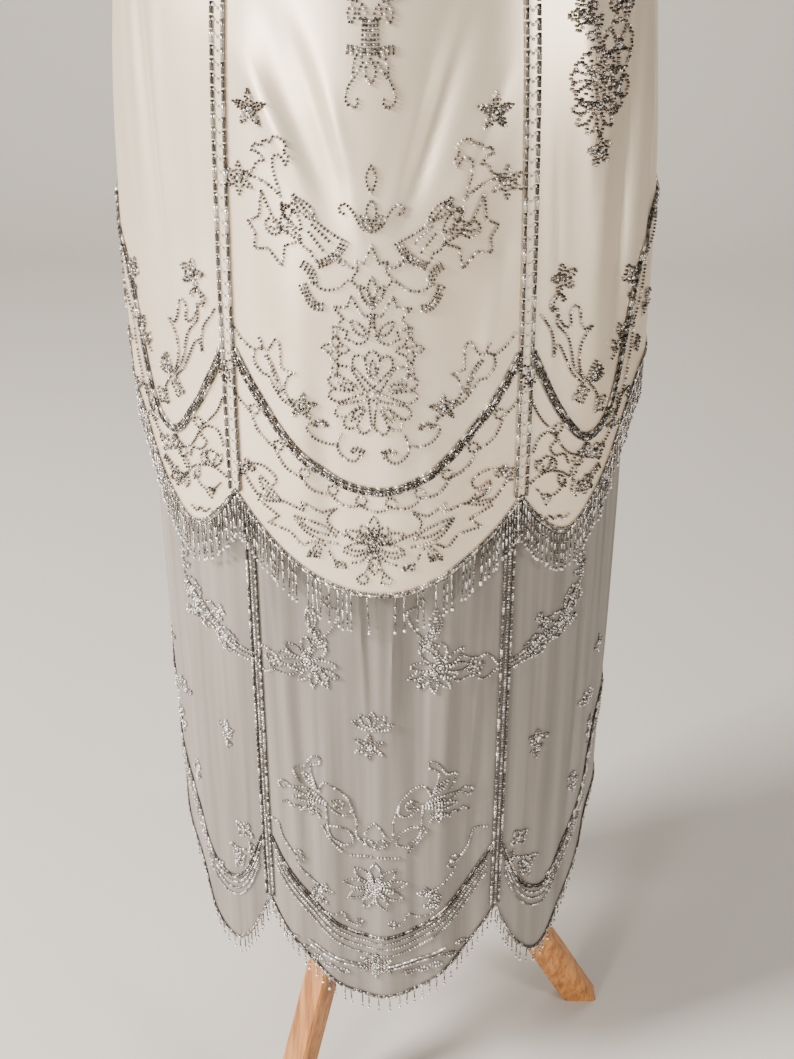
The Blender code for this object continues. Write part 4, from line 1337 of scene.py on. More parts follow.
def georgette_front_motifs() -> Motif:
    """Figures of the georgette's middle panel."""
    half = Motif().seeds(
        soft((98, 502), (90, 512), (78, 510), (70, 514), (60, 508)),
        soft((98, 497), (88, 489), (78, 494), (66, 492), (56, 500)),
        petal(26, 9) + (48, 534), petal(16, 4) + (48, 536),
        soft((56, 512), (44, 526), (32, 540), (26, 556), (36, 562)),
        curl((36, 562), 20, 4, 0.8),
    )
    half.add(fan(6, 24, 8, 230).placed(52, 506, 20),
             fan(5, 20, 6, 150).placed(46, 502, 185),
             cross_flower(8).placed(80, 502, 20), sprig(18).placed(36, 520, -30))
    # Leaf clusters that meet in a pointed arch, and scrolls beside the middle flower
    half.add(plume_cluster().placed(40, 368))
    half.seeds(
        [(3, 313), (20, 313)], soft((0, 350), (4, 346), (8, 338)),
        soft((95, 337), (84, 336), (80, 322), (72, 308)),
        curl((72, 308), 250, -5, 1), curl((68, 298), 200, -5, 0.9),
        soft((66, 292), (58, 282), (52, 276), (44, 272)),
        soft((54, 256), (46, 246), (36, 244), (28, 248), (24, 238),
             (16, 233)), curl((16, 233), 180, -4.5, 0.9),
    )
    half.add(fan(4, 10, 4, 170).placed(46, 268, -10),
             fan(3, 9, 4, 120).placed(50, 256, 30),
             leaf(14, 6, 0, 322, -38),
             Motif().seeds(bow((13, 186), (58, 204), -2), bow((12, 182), (56, 198), -2),
                           bead=Bead.BUGLE))
    for across, rise in ((24, 176), (36, 180), (48, 186), (60, 196), (71, 208)):
        half.add(leaf(11, 5, across, rise, -70 - across * 0.3))
    figure = half.both_sides()
    bloom = fan(9, 27, 9, 320).add(fan(8, 17, 4, 300)).seeds(ring(4))
    figure.add(fan(5, 18, 6, 130).placed(-1, 446), star(6, 13, 4).placed(-4, 429),
               bloom.placed(0, 279), star(6, 15, 5.4, ribbed=True).placed(0, 186))
    return figure.placed(-4, 0)


def georgette_side_motifs() -> Motif:
    """Figures of a georgette side panel, drawn for the right side."""
    garland = Motif().seeds(
        bow((106, 499), (172, 546), -7), bow((106, 503), (172, 551), -7),
        bow((108, 495), (170, 541), -8),
    )
    garland.add(
        daisy(5, 11, 10).placed(128, 508), daisy(5, 13, 12).placed(148, 523, 20),
        daisy(4, 11, 11).placed(164, 540), sprig(16).placed(138, 520, 30),
        sprig(15).placed(156, 524, -110), sprig(22).placed(172, 552, 5),
    )
    return garland.add(
        sprig(17).placed(136, 394, 10), fan(3, 10, 4, 120).placed(136, 412),
        cross_flower(10).placed(123, 312, 30), sprig(22).placed(136, 262, 20),
        leaf_scroll(26, 2).placed(118, 300, -60), sprig(16).placed(152, 240, -20),
        fan(4, 14, 5, 130).placed(196, 420), sprig(22).placed(204, 372, -8),
        cross_flower(9).placed(216, 468), sprig(20).placed(186, 330, 14),
    )


class BeadTree:
    """Geometry Nodes tree that strings beads along every edge chain of its host mesh."""

    name = "strung_beads"
    numbers = (
        ("Seed Pitch", 0.0026), ("Seed Length", 0.0021), ("Seed Width", 0.0024),
        ("Bugle Pitch", 0.0066), ("Bugle Length", 0.0060), ("Bugle Width", 0.0018),
        ("Drop Pitch", 0.0030), ("Drop Width", 0.0027), ("Unevenness", 0.10),
    )

    def __init__(self) -> None:
        """Build the tree."""
        self.tree = bpy.data.node_groups.new(self.name, "GeometryNodeTree")
        face = self.tree.interface
        face.new_socket("Geometry", in_out="INPUT", socket_type="NodeSocketGeometry")
        for label, value in self.numbers:
            socket = face.new_socket(label, in_out="INPUT", socket_type="NodeSocketFloat")
            socket.default_value = value
        face.new_socket("Random Seed", in_out="INPUT", socket_type="NodeSocketInt")
        for bead in Bead:
            face.new_socket(f"{bead.name.title()} Finish", in_out="INPUT",
                            socket_type="NodeSocketMaterial")
        face.new_socket("Geometry", in_out="OUTPUT", socket_type="NodeSocketGeometry")
        self.entry = add_node(self.tree, "NodeGroupInput")
        joined = add_node(self.tree, "GeometryNodeJoinGeometry")
        for bead in reversed(Bead):
            self.tree.links.new(self.add_branch(bead), joined.inputs[0])
        smooth = add_node(self.tree, "GeometryNodeSetShadeSmooth",
                          links={"Geometry": joined.outputs[0]})
        leave = add_node(self.tree, "NodeGroupOutput")
        self.tree.links.new(smooth.outputs[0], leave.inputs[0])

    def add_branch(self, bead: Bead) -> NodeSocket:
        """Add the nodes for one kind of bead.

        Args:
            bead: The kind.

        Returns:
            Socket that gives its realized beads.
        """
        tree, given = self.tree, self.entry.outputs
        label = bead.name.title()
        kind = add_node(tree, "GeometryNodeInputNamedAttribute", {"data_type": "INT"},
                        {"Name": "bead"})
        chosen = add_node(tree, "FunctionNodeCompare",
                          {"data_type": "INT", "operation": "EQUAL"}, {3: bead.value},
                          {2: kind.outputs[0]})
        curve = add_node(tree, "GeometryNodeMeshToCurve",
                         links={"Mesh": given["Geometry"], "Selection": chosen.outputs[0]})
        along = add_node(tree, "GeometryNodeCurveToPoints", {"mode": "LENGTH"},
                         links={"Curve": curve.outputs[0], "Length": given[f"{label} Pitch"]})
        tone = add_node(tree, "FunctionNodeRandomValue", {"data_type": "FLOAT"},
                        links={"Seed": given["Random Seed"]})
        toned = add_node(tree, "GeometryNodeStoreNamedAttribute",
                         {"data_type": "FLOAT", "domain": "POINT"}, {"Name": "tone"},
                         {"Geometry": along.outputs["Points"], "Value": tone.outputs[1]})
        if bead is Bead.BUGLE:
            shape = add_node(tree, "GeometryNodeMeshCylinder", {"fill_type": "NGON"},
                             {"Vertices": 6, "Radius": 0.5, "Depth": 1.0})
        else:
            shape = add_node(tree, "GeometryNodeMeshIcoSphere", None,
                             {"Radius": 0.5, "Subdivisions": 1})
        width = given[f"{label} Width"]
        length = width if bead is Bead.DROP else given[f"{label} Length"]
        size = add_node(tree, "ShaderNodeCombineXYZ", links={0: width, 1: width, 2: length})
        least = add_node(tree, "ShaderNodeMath", {"operation": "SUBTRACT"}, {0: 1.0},
                         {1: given["Unevenness"]})
        most = add_node(tree, "ShaderNodeMath", {"operation": "ADD"}, {0: 1.0},
                        {1: given["Unevenness"]})
        uneven = add_node(tree, "FunctionNodeRandomValue", {"data_type": "FLOAT"},
                          links={2: least.outputs[0], 3: most.outputs[0],
                                 "Seed": given["Random Seed"]})
        scaled = add_node(tree, "ShaderNodeVectorMath", {"operation": "SCALE"},
                          links={0: size.outputs[0], "Scale": uneven.outputs[1]})
        strung = add_node(tree, "GeometryNodeInstanceOnPoints",
                          links={"Points": toned.outputs[0], "Instance": shape.outputs[0],
                                 "Rotation": along.outputs["Rotation"],
                                 "Scale": scaled.outputs[0]})
        real = add_node(tree, "GeometryNodeRealizeInstances",
                        links={"Geometry": strung.outputs[0]})
        dressed = add_node(tree, "GeometryNodeSetMaterial",
                           links={"Geometry": real.outputs[0],
                                  "Material": given[f"{label} Finish"]})
        return dressed.outputs[0]

    def input_id(self, label: str) -> str:
        """Identifier of one of the tree's named inputs."""
        for socket in self.tree.interface.items_tree:
            if socket.in_out == "INPUT" and socket.name == label:
                return socket.identifier
        raise KeyError(label)

    def string(self, name: str, lines: BeadLines, sizes: dict[str, float],
               finishes: Finishes, seed: int) -> Object:
        """String beads along lines and return them as one plain mesh.

        Args:
            name: Name of the piece.
            lines: Kind of bead and points of each line.
            sizes: Values for the tree's inputs that differ from its own.
            finishes: Finish of each kind of bead.
            seed: Seed of the uneven tones and sizes.

        Returns:
            The finished piece.
        """
        points = np.concatenate([line for _, line in lines])
        edges, kinds, first = [], [], 0
        for bead, line in lines:
            edges += [(first + step, first + step + 1) for step in range(len(line) - 1)]
            kinds += [bead.value] * (len(line) - 1)
            first += len(line)
        mesh = bpy.data.meshes.new(f"{name}_lines")
        mesh.from_pydata([tuple(point) for point in points.tolist()], edges, [])
        stored = mesh.attributes.new("bead", "INT", "EDGE")
        stored.data.foreach_set("value", np.array(kinds, np.int32))
        host = add_object(f"{name}_lines", mesh)
        modifier = host.modifiers.new("beads", "NODES")
        modifier.node_group = self.tree
        for label, value in sizes.items():
            modifier[self.input_id(label)] = value
        modifier[self.input_id("Random Seed")] = seed
        for bead in Bead:
            modifier[self.input_id(f"{bead.name.title()} Finish")] = finishes[bead]
        finished = evaluated_mesh(host)
        finished.name = name
        bpy.data.objects.remove(host)
        LOG.info("%s: %d faces", name, len(finished.polygons))
        return add_object(name, finished)


# Length of a line that takes one bead
ONE_BEAD = 0.0002


def respace(line: np.ndarray, step: float) -> np.ndarray:
    """The same line with points about a step apart."""
    lengths = np.concatenate([[0.0], np.cumsum(np.linalg.norm(np.diff(line, axis=0), axis=1))])
    count = max(2, int(round(lengths[-1] / step)) + 1)
    at = np.linspace(0.0, lengths[-1], count)
    return np.stack([np.interp(at, lengths, line[:, axis]) for axis in range(line.shape[1])], 1)


@dataclass
class Beader:
    """Lays bead lines on a layer of cloth and strings them."""

    tree: BeadTree
    finishes: Finishes
    seed: int = 1926

    def lay(self, tube: Tube, motif: Motif, origin: float, lift: float) -> BeadLines:
        """Lay a motif's strokes on the cloth.

        Args:
            tube: The layer of cloth.
            motif: What is drawn, in millimetres from the origin's line.
            origin: 0 for centre front or 180 for centre back.
            lift: Height of the beads' middles over the cloth.

        Returns:
            Kind of bead and points of each line.
        """
        spaced = [respace(stroke.points, 1.0 if stroke.bead is not Bead.DROP else 0.05)
                  for stroke in motif.strokes]
        flat = np.concatenate(spaced) * MM
        angles = tube.angle_at(origin, flat[:, 0], flat[:, 1])
        laid = tube.lifted(angles, flat[:, 1], lift)
        ends = np.cumsum([len(line) for line in spaced])[:-1]
        return [(stroke.bead, line) for stroke, line in zip(motif.strokes, np.split(laid, ends))]

    def string(self, name: str, lines: BeadLines,
               replaces: Sequence[str] = (), sizes: dict[str, float] | None = None,
               finishes: Finishes | None = None) -> Object:
        """String a piece of beadwork, let it ride and stand for its solids."""
        self.seed += 1
        piece = self.tree.string(name, lines, sizes or {}, finishes or self.finishes, self.seed)
        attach(piece, "root")
        if replaces:
            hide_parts(*replaces)
        return piece


@dataclass
class Ladder:
    """Beaded ladder over a seam: columns of bugles and seeds with crystal rungs between them."""

    tube: Tube
    half_width: float
    step: float
    lift: float = 0.0013
    sag: float = 0.0016
    rung_share: float = 0.62
    middle_row: bool = False

    def lines(self, angle: float, top: float, foot: float) -> BeadLines:
        """Lines of one ladder.

        Args:
            angle: Angle of its seam.
            top: Path length of its upper end.
            foot: Height of its lower end.

        Returns:
            Kind of bead and points of each line.
        """
        paths = np.arange(foot, top, 0.002)
        steps = np.arange(foot + self.step / 2.0, top, self.step)
        made: BeadLines = []
        for side in (-1.0, 1.0):
            angles = self.beside(angle, paths, side * self.half_width)
            made.append((Bead.BUGLE, self.tube.lifted(angles, paths, self.lift)))
            spots = np.stack([steps, steps + ONE_BEAD], axis=1)
            angles = self.beside(angle, spots, side * self.half_width)
            made += [(Bead.SEED, spot) for spot in self.tube.lifted(angles, spots, self.lift)]
        if self.middle_row:
            made.append((Bead.SEED, self.tube.lifted(np.full(len(paths), angle), paths, self.lift)))
            return made
        shares = np.linspace(-self.rung_share, self.rung_share, 5)
        rungs = steps[:, None] - self.sag * (1.0 - (shares / self.rung_share) ** 2)
        angles = self.beside(angle, rungs, shares * self.half_width)
        return made + [(Bead.SEED, rung) for rung in self.tube.lifted(angles, rungs, self.lift)]

    def beside(self, angle: float, path: np.ndarray, distance: np.ndarray | float) -> np.ndarray:
        """Angles that lie a distance round the cloth from an angle."""
        ahead = self.tube.points(np.full(np.shape(path), angle + 0.5), path)
        behind = self.tube.points(np.full(np.shape(path), angle - 0.5), path)
        return angle + np.asarray(distance) / np.linalg.norm(ahead - behind, axis=-1)


SEAMS = {"front_right": SEAM_ANGLE, "back_right": 180.0 - SEAM_ANGLE,
         "back_left": SEAM_ANGLE - 180.0, "front_left": -SEAM_ANGLE}

# Rows of a swag: distance under its line, bead, and rise over the cloth
THICK_SWAG = ((-0.0026, Bead.BUGLE, 0.0), (-0.0009, Bead.BUGLE, 0.0008),
              (0.0009, Bead.SEED, 0.0008), (0.0026, Bead.BUGLE, 0.0))
THIN_SWAG = ((-0.0012, Bead.BUGLE, 0.0), (0.0012, Bead.BUGLE, 0.0))

# What a swag keeps clear of a ladder, in metres, and of a side line, in degrees
LADDER_ROOM = 0.0062
SIDE_ROOM = 0.3


def beside_edge(tube: Tube, edge: Edge, angles: np.ndarray, distance: np.ndarray | float
                ) -> tuple[np.ndarray, np.ndarray]:
    """Angles and heights that lie a distance under an edge, at right angles to it."""
    radius = tube.ovals[0].half_width
    heights = edge.at(angles)
    slope = (edge.at(angles + 0.2) - edge.at(angles - 0.2)) / (radius * math.radians(0.4))
    along = np.hypot(1.0, slope)
    return angles + np.degrees(distance * slope / along / radius), heights - distance / along


@dataclass
class Beadwork:
    """Beadwork of one layer of cloth, and the pieces of it that go with each panel."""

    layer: ClothLayer
    beader: Beader
    dark: Finishes
    lift: float = 0.0011
    trims: dict[str, list[Object]] = field(default_factory=dict)

    def __post_init__(self) -> None:
        """Start each panel's list of pieces."""
        self.trims = {cut.name: [] for cut in self.layer.cuts()}

    def string_ladder(self, place: str, lines: BeadLines, sizes: dict[str, float],
                      finishes: Finishes) -> None:
        """String the ladder over one seam; it goes with the middle panel beside it."""
        name = f"{self.layer.name}_ladder_{place}"
        piece = self.beader.string(f"{name}_beads", lines, [name], sizes, finishes)
        self.trims[place.split("_")[0]].append(piece)

    def swag_lines(self, edge: Edge, cut: PanelCut,
                   rows: Sequence[tuple[float, Bead, float]]) -> BeadLines:
        """Rows of a panel's swag, each given by its distance under the line, bead and rise."""
        tube = self.layer.tube
        inset = math.degrees(LADDER_ROOM / tube.ovals[0].half_width)
        start, end = (inset if abs(angle) % 90.0 > 1.0 else SIDE_ROOM
                      for angle in (cut.start, cut.end))
        angles = np.linspace(cut.start + start, cut.end - end, 160)
        return [(bead, tube.lifted(*beside_edge(tube, edge, angles, offset), self.lift + rise))
                for offset, bead, rise in rows]

    def string_swag(self, cut: PanelCut, lines: BeadLines) -> None:
        """String one panel's swag, its bugles of the dark glass."""
        name = f"{self.layer.name}_swag_{cut.name}"
        finishes = {**self.beader.finishes, Bead.BUGLE: self.dark[Bead.BUGLE]}
        piece = self.beader.string(f"{name}_beads", lines, [name], None, finishes)
        self.trims[cut.name].append(piece)

    def string_figures(self, figures: dict[str, Motif]) -> None:
        """String each panel's figure, drawn from centre front or, behind, centre back."""
        for panel, motif in figures.items():
            origin = 180.0 if "back" in panel else 0.0
            lines = self.beader.lay(self.layer.tube, motif, origin, self.lift)
            piece = self.beader.string(f"{self.layer.name}_{panel}_figures", lines)
            self.trims[panel].append(piece)


@dataclass
class SatinBeadwork(Beadwork):
    """All beadwork of the satin over-dress but its fringe."""

    ladder_half_width: float = 0.0042
    ladder_step: float = 0.0084
    top_gap: float = 0.002
    hem_gap: float = 0.006
    insert_tail: float = 0.004
    insert_half_width: float = 0.0050
    insert_shares: tuple[float, ...] = (-1.0, -0.6, 0.0, 0.6, 1.0)
    insert_rise: float = 0.0005
    insert_crown: float = 0.0002
    insert_clear: float = 0.00015
    middle_rings: int = 12
    side_rings: int = 8
    ring_drop: float = 0.0090
    ring_radius: float = 0.0038
    lobe_drop: float = 0.0125
    lobe_depth: float = 0.0036

    def build(self) -> None:
        """Build ladders, swags and figures."""
        self.build_ladders()
        for cut in self.layer.cuts():
            self.string_swag(cut, self.swag_lines(SATIN_SWAG, cut, THICK_SWAG)
                             + self.ring_chain(cut))
        side = side_front_motifs()
        self.string_figures({
            "front": satin_front_motifs(), "back": satin_front_motifs(),
            "side_front_right": Motif().add(side, corsage_cluster()),
            "side_front_left": side.flipped(), "side_back_left": side,
            "side_back_right": side.flipped(),
        })

    def build_ladders(self) -> None:
        """Beaded ladders over the four long seams, each on a narrow insert of satin."""
        ladder = Ladder(self.layer.tube, self.ladder_half_width, self.ladder_step)
        sizes = {"Bugle Pitch": self.ladder_step, "Bugle Length": 0.0076, "Bugle Width": 0.0027}
        finishes = {**self.dark, Bead.SEED: self.dark[Bead.DROP]}
        for place, angle in SEAMS.items():
            top = float(satin_top(np.array([angle]))[0]) - self.top_gap
            foot = float(SATIN_HEM.at(np.array([angle]))[0]) + self.hem_gap
            insert = self.build_insert(place, angle, top, foot - self.insert_tail)
            self.trims[place.split("_")[0]].append(insert)
            self.string_ladder(place, ladder.lines(angle, top, foot), sizes, finishes)

    def build_insert(self, place: str, angle: float, top: float, foot: float) -> Object:
        """Narrow strip of satin that backs a ladder and covers its seam."""
        tube = self.layer.tube
        ladder = Ladder(tube, self.insert_half_width, self.ladder_step)
        paths = np.linspace(top, foot, 110)[:, None]
        shares = np.array(self.insert_shares)
        rows = np.broadcast_to(paths, (len(paths), len(shares)))
        angles = np.stack([ladder.beside(angle, paths[:, 0], share * self.insert_half_width)
                           for share in shares], axis=1)
        normals = tube.normals(angles, rows)
        face = tube.points(angles, rows)
        rise = self.insert_rise + self.insert_crown * (1.0 - shares ** 2)
        points, faces = grid_wall(face + normals * rise[None, :, None],
                                  face + normals * self.insert_clear)
        strip = make_mesh(f"satin_insert_{place}", points, faces, self.layer.finish)
        flat = np.stack([np.broadcast_to(shares * self.insert_half_width, rows.shape), rows], -1)
        set_cut_map(strip, np.concatenate([flat.reshape(-1, 2)] * 2))
        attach(strip, "root")
        return strip

    def ring_chain(self, cut: PanelCut) -> BeadLines:
        """Garland of lobes under a swag, with a small ring in each of its cusps."""
        tube = self.layer.tube
        count = self.side_rings if "side" in cut.name else self.middle_rings
        span = cut.end - cut.start
        cusps = cut.start + span * (np.arange(count) + 0.5) / count
        middles, heights = beside_edge(tube, SATIN_SWAG, cusps, self.ring_drop)
        turn = np.linspace(0.0, math.tau, 12)
        across = math.degrees(1.0 / SATIN_OVALS[1].half_width)
        rings = tube.lifted(middles[:, None] + self.ring_radius * np.cos(turn) * across,
                            heights[:, None] + self.ring_radius * np.sin(turn), self.lift)
        angles = np.linspace(cut.start + span * 0.02, cut.end - span * 0.02, 240)
        lobe = np.abs(np.cos(math.pi * count * (angles - cut.start) / span))
        garland = beside_edge(tube, SATIN_SWAG, angles, self.lobe_drop + self.lobe_depth * lobe)
        return [(Bead.SEED, line) for line in (*rings, tube.lifted(*garland, self.lift))]


@dataclass
class GeorgetteBeadwork(Beadwork):
    """All beadwork of the georgette skirt but its fringe."""

    ladder_half_width: float = 0.0036
    ladder_step: float = 0.0056
    hem_gap: float = 0.005
    pale_rows: tuple[float, ...] = (0.007, 0.014, 0.022)
    seam_room: float = 3.0
    hem_room: float = 0.008

    def build(self) -> None:
        """Build ladders, swags and figures."""
        ladder = Ladder(self.layer.tube, self.ladder_half_width, self.ladder_step,
                        middle_row=True)
        sizes = {"Bugle Pitch": ladder.step, "Bugle Length": 0.0036, "Bugle Width": 0.0022}
        finishes = {**self.dark, Bead.SEED: self.beader.finishes[Bead.SEED]}
        for place, angle in SEAMS.items():
            foot = float(GEORGETTE_HEM.at(np.array([angle]))[0]) + self.hem_gap
            self.string_ladder(place, ladder.lines(angle, GEORGETTE_FREE, foot), sizes, finishes)
        for cut in self.layer.cuts():
            self.string_swag(cut, self.swag_lines(GEORGETTE_SWAG, cut, THIN_SWAG)
                             + self.pale_lines(cut))
        side = georgette_side_motifs()
        self.string_figures({
            "front": georgette_front_motifs(), "back": georgette_front_motifs(),
            "side_front_right": side, "side_back_left": side,
            "side_front_left": side.flipped(), "side_back_right": side.flipped(),
        })

    def pale_lines(self, cut: PanelCut) -> BeadLines:
        """Three lighter rows under a swag, each as far as it has room over the hem."""
        angles = np.linspace(cut.start + self.seam_room, cut.end - self.seam_room, 160)
        made: BeadLines = []
        for offset in self.pale_rows:
            heights = GEORGETTE_SWAG.at(angles) - offset
            room = np.flatnonzero(heights > GEORGETTE_HEM.at(angles) + self.hem_room)
            if len(room) > 4:
                kept = slice(room[0], room[-1] + 1)
                made.append((Bead.SEED, self.layer.tube.lifted(angles[kept], heights[kept],
                                                               self.lift)))
        return made


@dataclass
class Fringe:
    """Beaded fringe all round a hem, with rows of beads along the edge."""

    name: str
    tube: Tube
    hem: Edge
    beader: Beader
    spacing: float
    bugles: int
    tip_seeds: int
    uneven: float = 0.0015
    sparse: float = 0.35
    dense_from: float = SEAM_ANGLE - 9.0
    jitter: float = 0.2
    root_drop: float = 0.0012
    tilt: float = 0.022
    # One group of a strand: its length, and the spans that take its bugle and its seed
    group: float = 0.0084
    bugle_span: tuple[float, float] = (0.0031, 0.0033)
    seed_span: tuple[float, float] = (0.0073, 0.0074)
    # Tail under the groups: its seeds' step, a share that leaves out a doubled end, and gaps
    seed_step: float = 0.0021
    tail_share: float = 0.98
    tail_gap: float = 0.0010
    drop_gap: float = 0.0026
    # Rows along the hem: rise over its edge, bead, and lift off the cloth
    edge_rows: tuple[tuple[float, Bead, float], ...] = (
        (0.0012, Bead.BUGLE, 0.0011), (0.0032, Bead.SEED, 0.0011), (-0.0004, Bead.BUGLE, 0.0005))

    def hem_line(self, rise: float, lift: float) -> tuple[np.ndarray, np.ndarray]:
        """Angles and points of a line that follows the hem all round."""
        angles = np.linspace(-180.0, 180.0, 2400, endpoint=False)
        return angles, self.tube.lifted(angles, self.hem.at(angles) + rise, lift)

    def build(self) -> Object:
        """String the fringe, sparser in the middle of a panel, and let it stand for its solid."""
        draw = np.random.default_rng(27)
        angles, line = self.hem_line(0.0, -0.0004)
        steps = np.linalg.norm(np.diff(line, axis=0, append=line[:1]), axis=1)
        lengths = np.concatenate([[0.0], np.cumsum(steps)])
        lines: BeadLines = []
        for strand in range(int(lengths[-1] / self.spacing)):
            at = (strand + 0.5 + self.jitter * draw.uniform(-1.0, 1.0)) * self.spacing
            index = min(int(np.searchsorted(lengths, at)), len(line) - 1)
            if float(fold_angle(angles[index])) < self.dense_from and draw.random() < self.sparse:
                continue
            root = line[index] - (0.0, 0.0, self.root_drop)
            way = np.array([*draw.normal(0.0, self.tilt, 2), -1.0])
            lines += self.strand(root, way / np.linalg.norm(way), draw)
        lines += [(bead, self.hem_line(rise, lift)[1]) for rise, bead, lift in self.edge_rows]
        return self.beader.string(
            f"{self.name}_beads", lines, [self.name],
            {"Bugle Pitch": 0.0066, "Bugle Width": 0.0014, "Seed Pitch": self.seed_step,
             "Seed Length": 0.0019, "Seed Width": 0.0017, "Drop Width": 0.0027,
             "Drop Pitch": 0.01})

    def strand(self, root: np.ndarray, way: np.ndarray, draw: np.random.Generator) -> BeadLines:
        """Lines of one strand, from its root down: bugles parted by seeds, then a round bead."""
        made: BeadLines = []
        down = float(draw.uniform(0.0, self.uneven))
        for _ in range(self.bugles):
            made.append((Bead.BUGLE, root + np.outer(down + np.array(self.bugle_span), way)))
            made.append((Bead.SEED, root + np.outer(down + np.array(self.seed_span), way)))
            down += self.group
        tail = down + self.seed_step * np.arange(self.tip_seeds + 1) * self.tail_share
        made.append((Bead.SEED, root + np.outer(tail + self.tail_gap, way)))
        down += self.seed_step * self.tip_seeds + self.drop_gap
        made.append((Bead.DROP, root + np.outer([down, down + 0.0001], way)))
        return made


@dataclass
class DressForm:
    """Limbless dress form under the dress: linen over a smooth torso with a neck."""

    finish: Material
    foot: float = 0.800
    shoulder_round: float = 0.10
    neck_radius: float = 0.054
    neck_foot: float = 1.330
    neck_top: float = 1.468
    neck_taper: float = 0.06
    columns: int = 112
    rows: int = 84
    voxel: float = 0.008
    ease_rounds: int = 6
    slack_paths: tuple[float, ...] = (0.800, 1.000, 1.160, 1.280, 1.400, 1.450, 1.473)
    slack_gaps: tuple[float, ...] = (0.024, 0.020, 0.012, 0.009, 0.008, 0.005, 0.0018)

    def points(self, angle: np.ndarray, path: np.ndarray) -> np.ndarray:
        """Surface of the torso: the satin's shape without its folds, moved in."""
        plain = SatinTube(SATIN_OVALS, ())
        gap = read_smooth(self.slack_paths, self.slack_gaps, path)
        place = plain.points(angle, path) - plain.normals(angle, path) * gap[..., None]
        climb = np.clip((path - CHEST) / (SHOULDER_PATH - CHEST), 0.0, 1.0)
        past = np.clip(fold_angle(angle) - SHOULDER_ANGLE, 0.0, None) / (SIDE_ANGLE - SHOULDER_ANGLE)
        place[..., 0] *= 1.0 - self.shoulder_round * climb * past ** 2
        return place

    def build(self) -> Object:
        """Build the torso and the neck as one mesh and round what meets."""
        angles = np.linspace(-180.0, 180.0, self.columns, endpoint=False)
        paths = np.linspace(SHOULDER_PATH, self.foot, self.rows)[:, None]
        shape = (self.rows, self.columns)
        body = self.points(np.broadcast_to(angles, shape), np.broadcast_to(paths, shape))
        # The shoulder closes, but for a sliver that keeps the surface whole
        body[0, :, 1] *= 0.02
        neck = self.neck_points()
        faces = tube_faces(*shape)
        faces += [tuple(body[..., 0].size + corner for corner in face)
                  for face in tube_faces(*neck.shape[:2])]
        torso = make_mesh("form_torso_linen", np.concatenate([body.reshape(-1, 3),
                                                              neck.reshape(-1, 3)]),
                          faces, self.finish, 80.0)
        remesh = torso.modifiers.new("even", "REMESH")
        remesh.mode = "VOXEL"
        remesh.voxel_size = self.voxel
        remesh.use_smooth_shade = True
        ease = torso.modifiers.new("ease", "SMOOTH")
        ease.factor = 0.5
        ease.iterations = self.ease_rounds
        mesh = evaluated_mesh(torso)
        torso.modifiers.clear()
        torso.data = mesh
        mesh.shade_smooth()
        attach(torso, "root")
        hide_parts("form_torso")
        LOG.info("%s: %d faces", torso.name, len(mesh.polygons))
        return torso

    def neck_points(self) -> np.ndarray:
        """Rings of points up the round neck."""
        heights = np.linspace(self.neck_foot, self.neck_top, 12)[:, None]
        radii = np.linspace(self.neck_radius, self.neck_radius * (1.0 - self.neck_taper), 12)
        turns = np.linspace(0.0, math.tau, 48, endpoint=False)
        return np.stack([radii[:, None] * np.cos(turns), radii[:, None] * np.sin(turns),
                         np.broadcast_to(heights, (12, 48))], axis=-1)


@dataclass
class EdgeBinding:
    """Rolled satin edge round the neck and each armhole."""

    tube: SatinTube
    finish: Material
    radius: float = 0.0014

    def loop(self, spans: Sequence[tuple[float, float]]) -> np.ndarray:
        """Closed line along the top edge through spans of angles."""
        runs = []
        for start, end in spans:
            angles = np.linspace(start, end, 61)
            paths = np.minimum(satin_top(angles), SHOULDER_PATH)
            runs.append(self.tube.lifted(angles, paths, -SATIN_WALL / 2.0)[:-1])
        return np.concatenate(runs)

    def build(self) -> dict[str, Object]:
        """Build the three bindings and return them by the panel they go with."""
        neck, arm = NECK_ANGLE, SHOULDER_ANGLE + 0.01
        loops = {
            "front": ("neck_binding", ((-neck, neck), (180.0 - neck, 180.0 + neck))),
            "side_front_right": ("armhole_binding_right", ((arm, 90.0), (90.0, 180.0 - arm))),
            "side_front_left": ("armhole_binding_left", ((-arm, -90.0), (-90.0, arm - 180.0))),
        }
        made = {}
        for panel, (name, spans) in loops.items():
            piece = tube_along(name, self.loop(spans), self.radius, self.finish)
            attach(piece, "root")
            made[panel] = piece
            LOG.info("%s: %d faces", name, len(piece.data.polygons))
        return made


@dataclass
class Stand:
    """Turned and shaped wood of the stand, whose solids stay and get their finish."""

    leg_turns: dict[str, float] = field(default_factory=lambda: {
        "leg_front_left": -28.0, "leg_right": 92.0, "leg_back_left": -148.0})
    leg_slope: float = 30.0

    def dress(self) -> None:
        """Give each wooden solid varnished wood, with its grain along the piece."""
        upright = VarnishedWood("varnished_beech_turned", (0.0, 0.0, 0.0)).build()
        for node in ("stand_pole", "stand_hub", "form_neck_cap"):
            self.assign(node, upright)
        for node, turn in self.leg_turns.items():
            # Turning the pattern back by the leg's own direction lays its grain along the bar
            finish = VarnishedWood(f"varnished_beech_{node}", (self.leg_slope, 0.0, -turn)).build()
            self.assign(node, finish)

    def assign(self, node: str, finish: Material) -> None:
        """Put a finish in a solid's material slots."""
        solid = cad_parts[node]
        for slot in solid.material_slots:
            slot.material = finish
        LOG.info("%s: %s", node, finish.name)


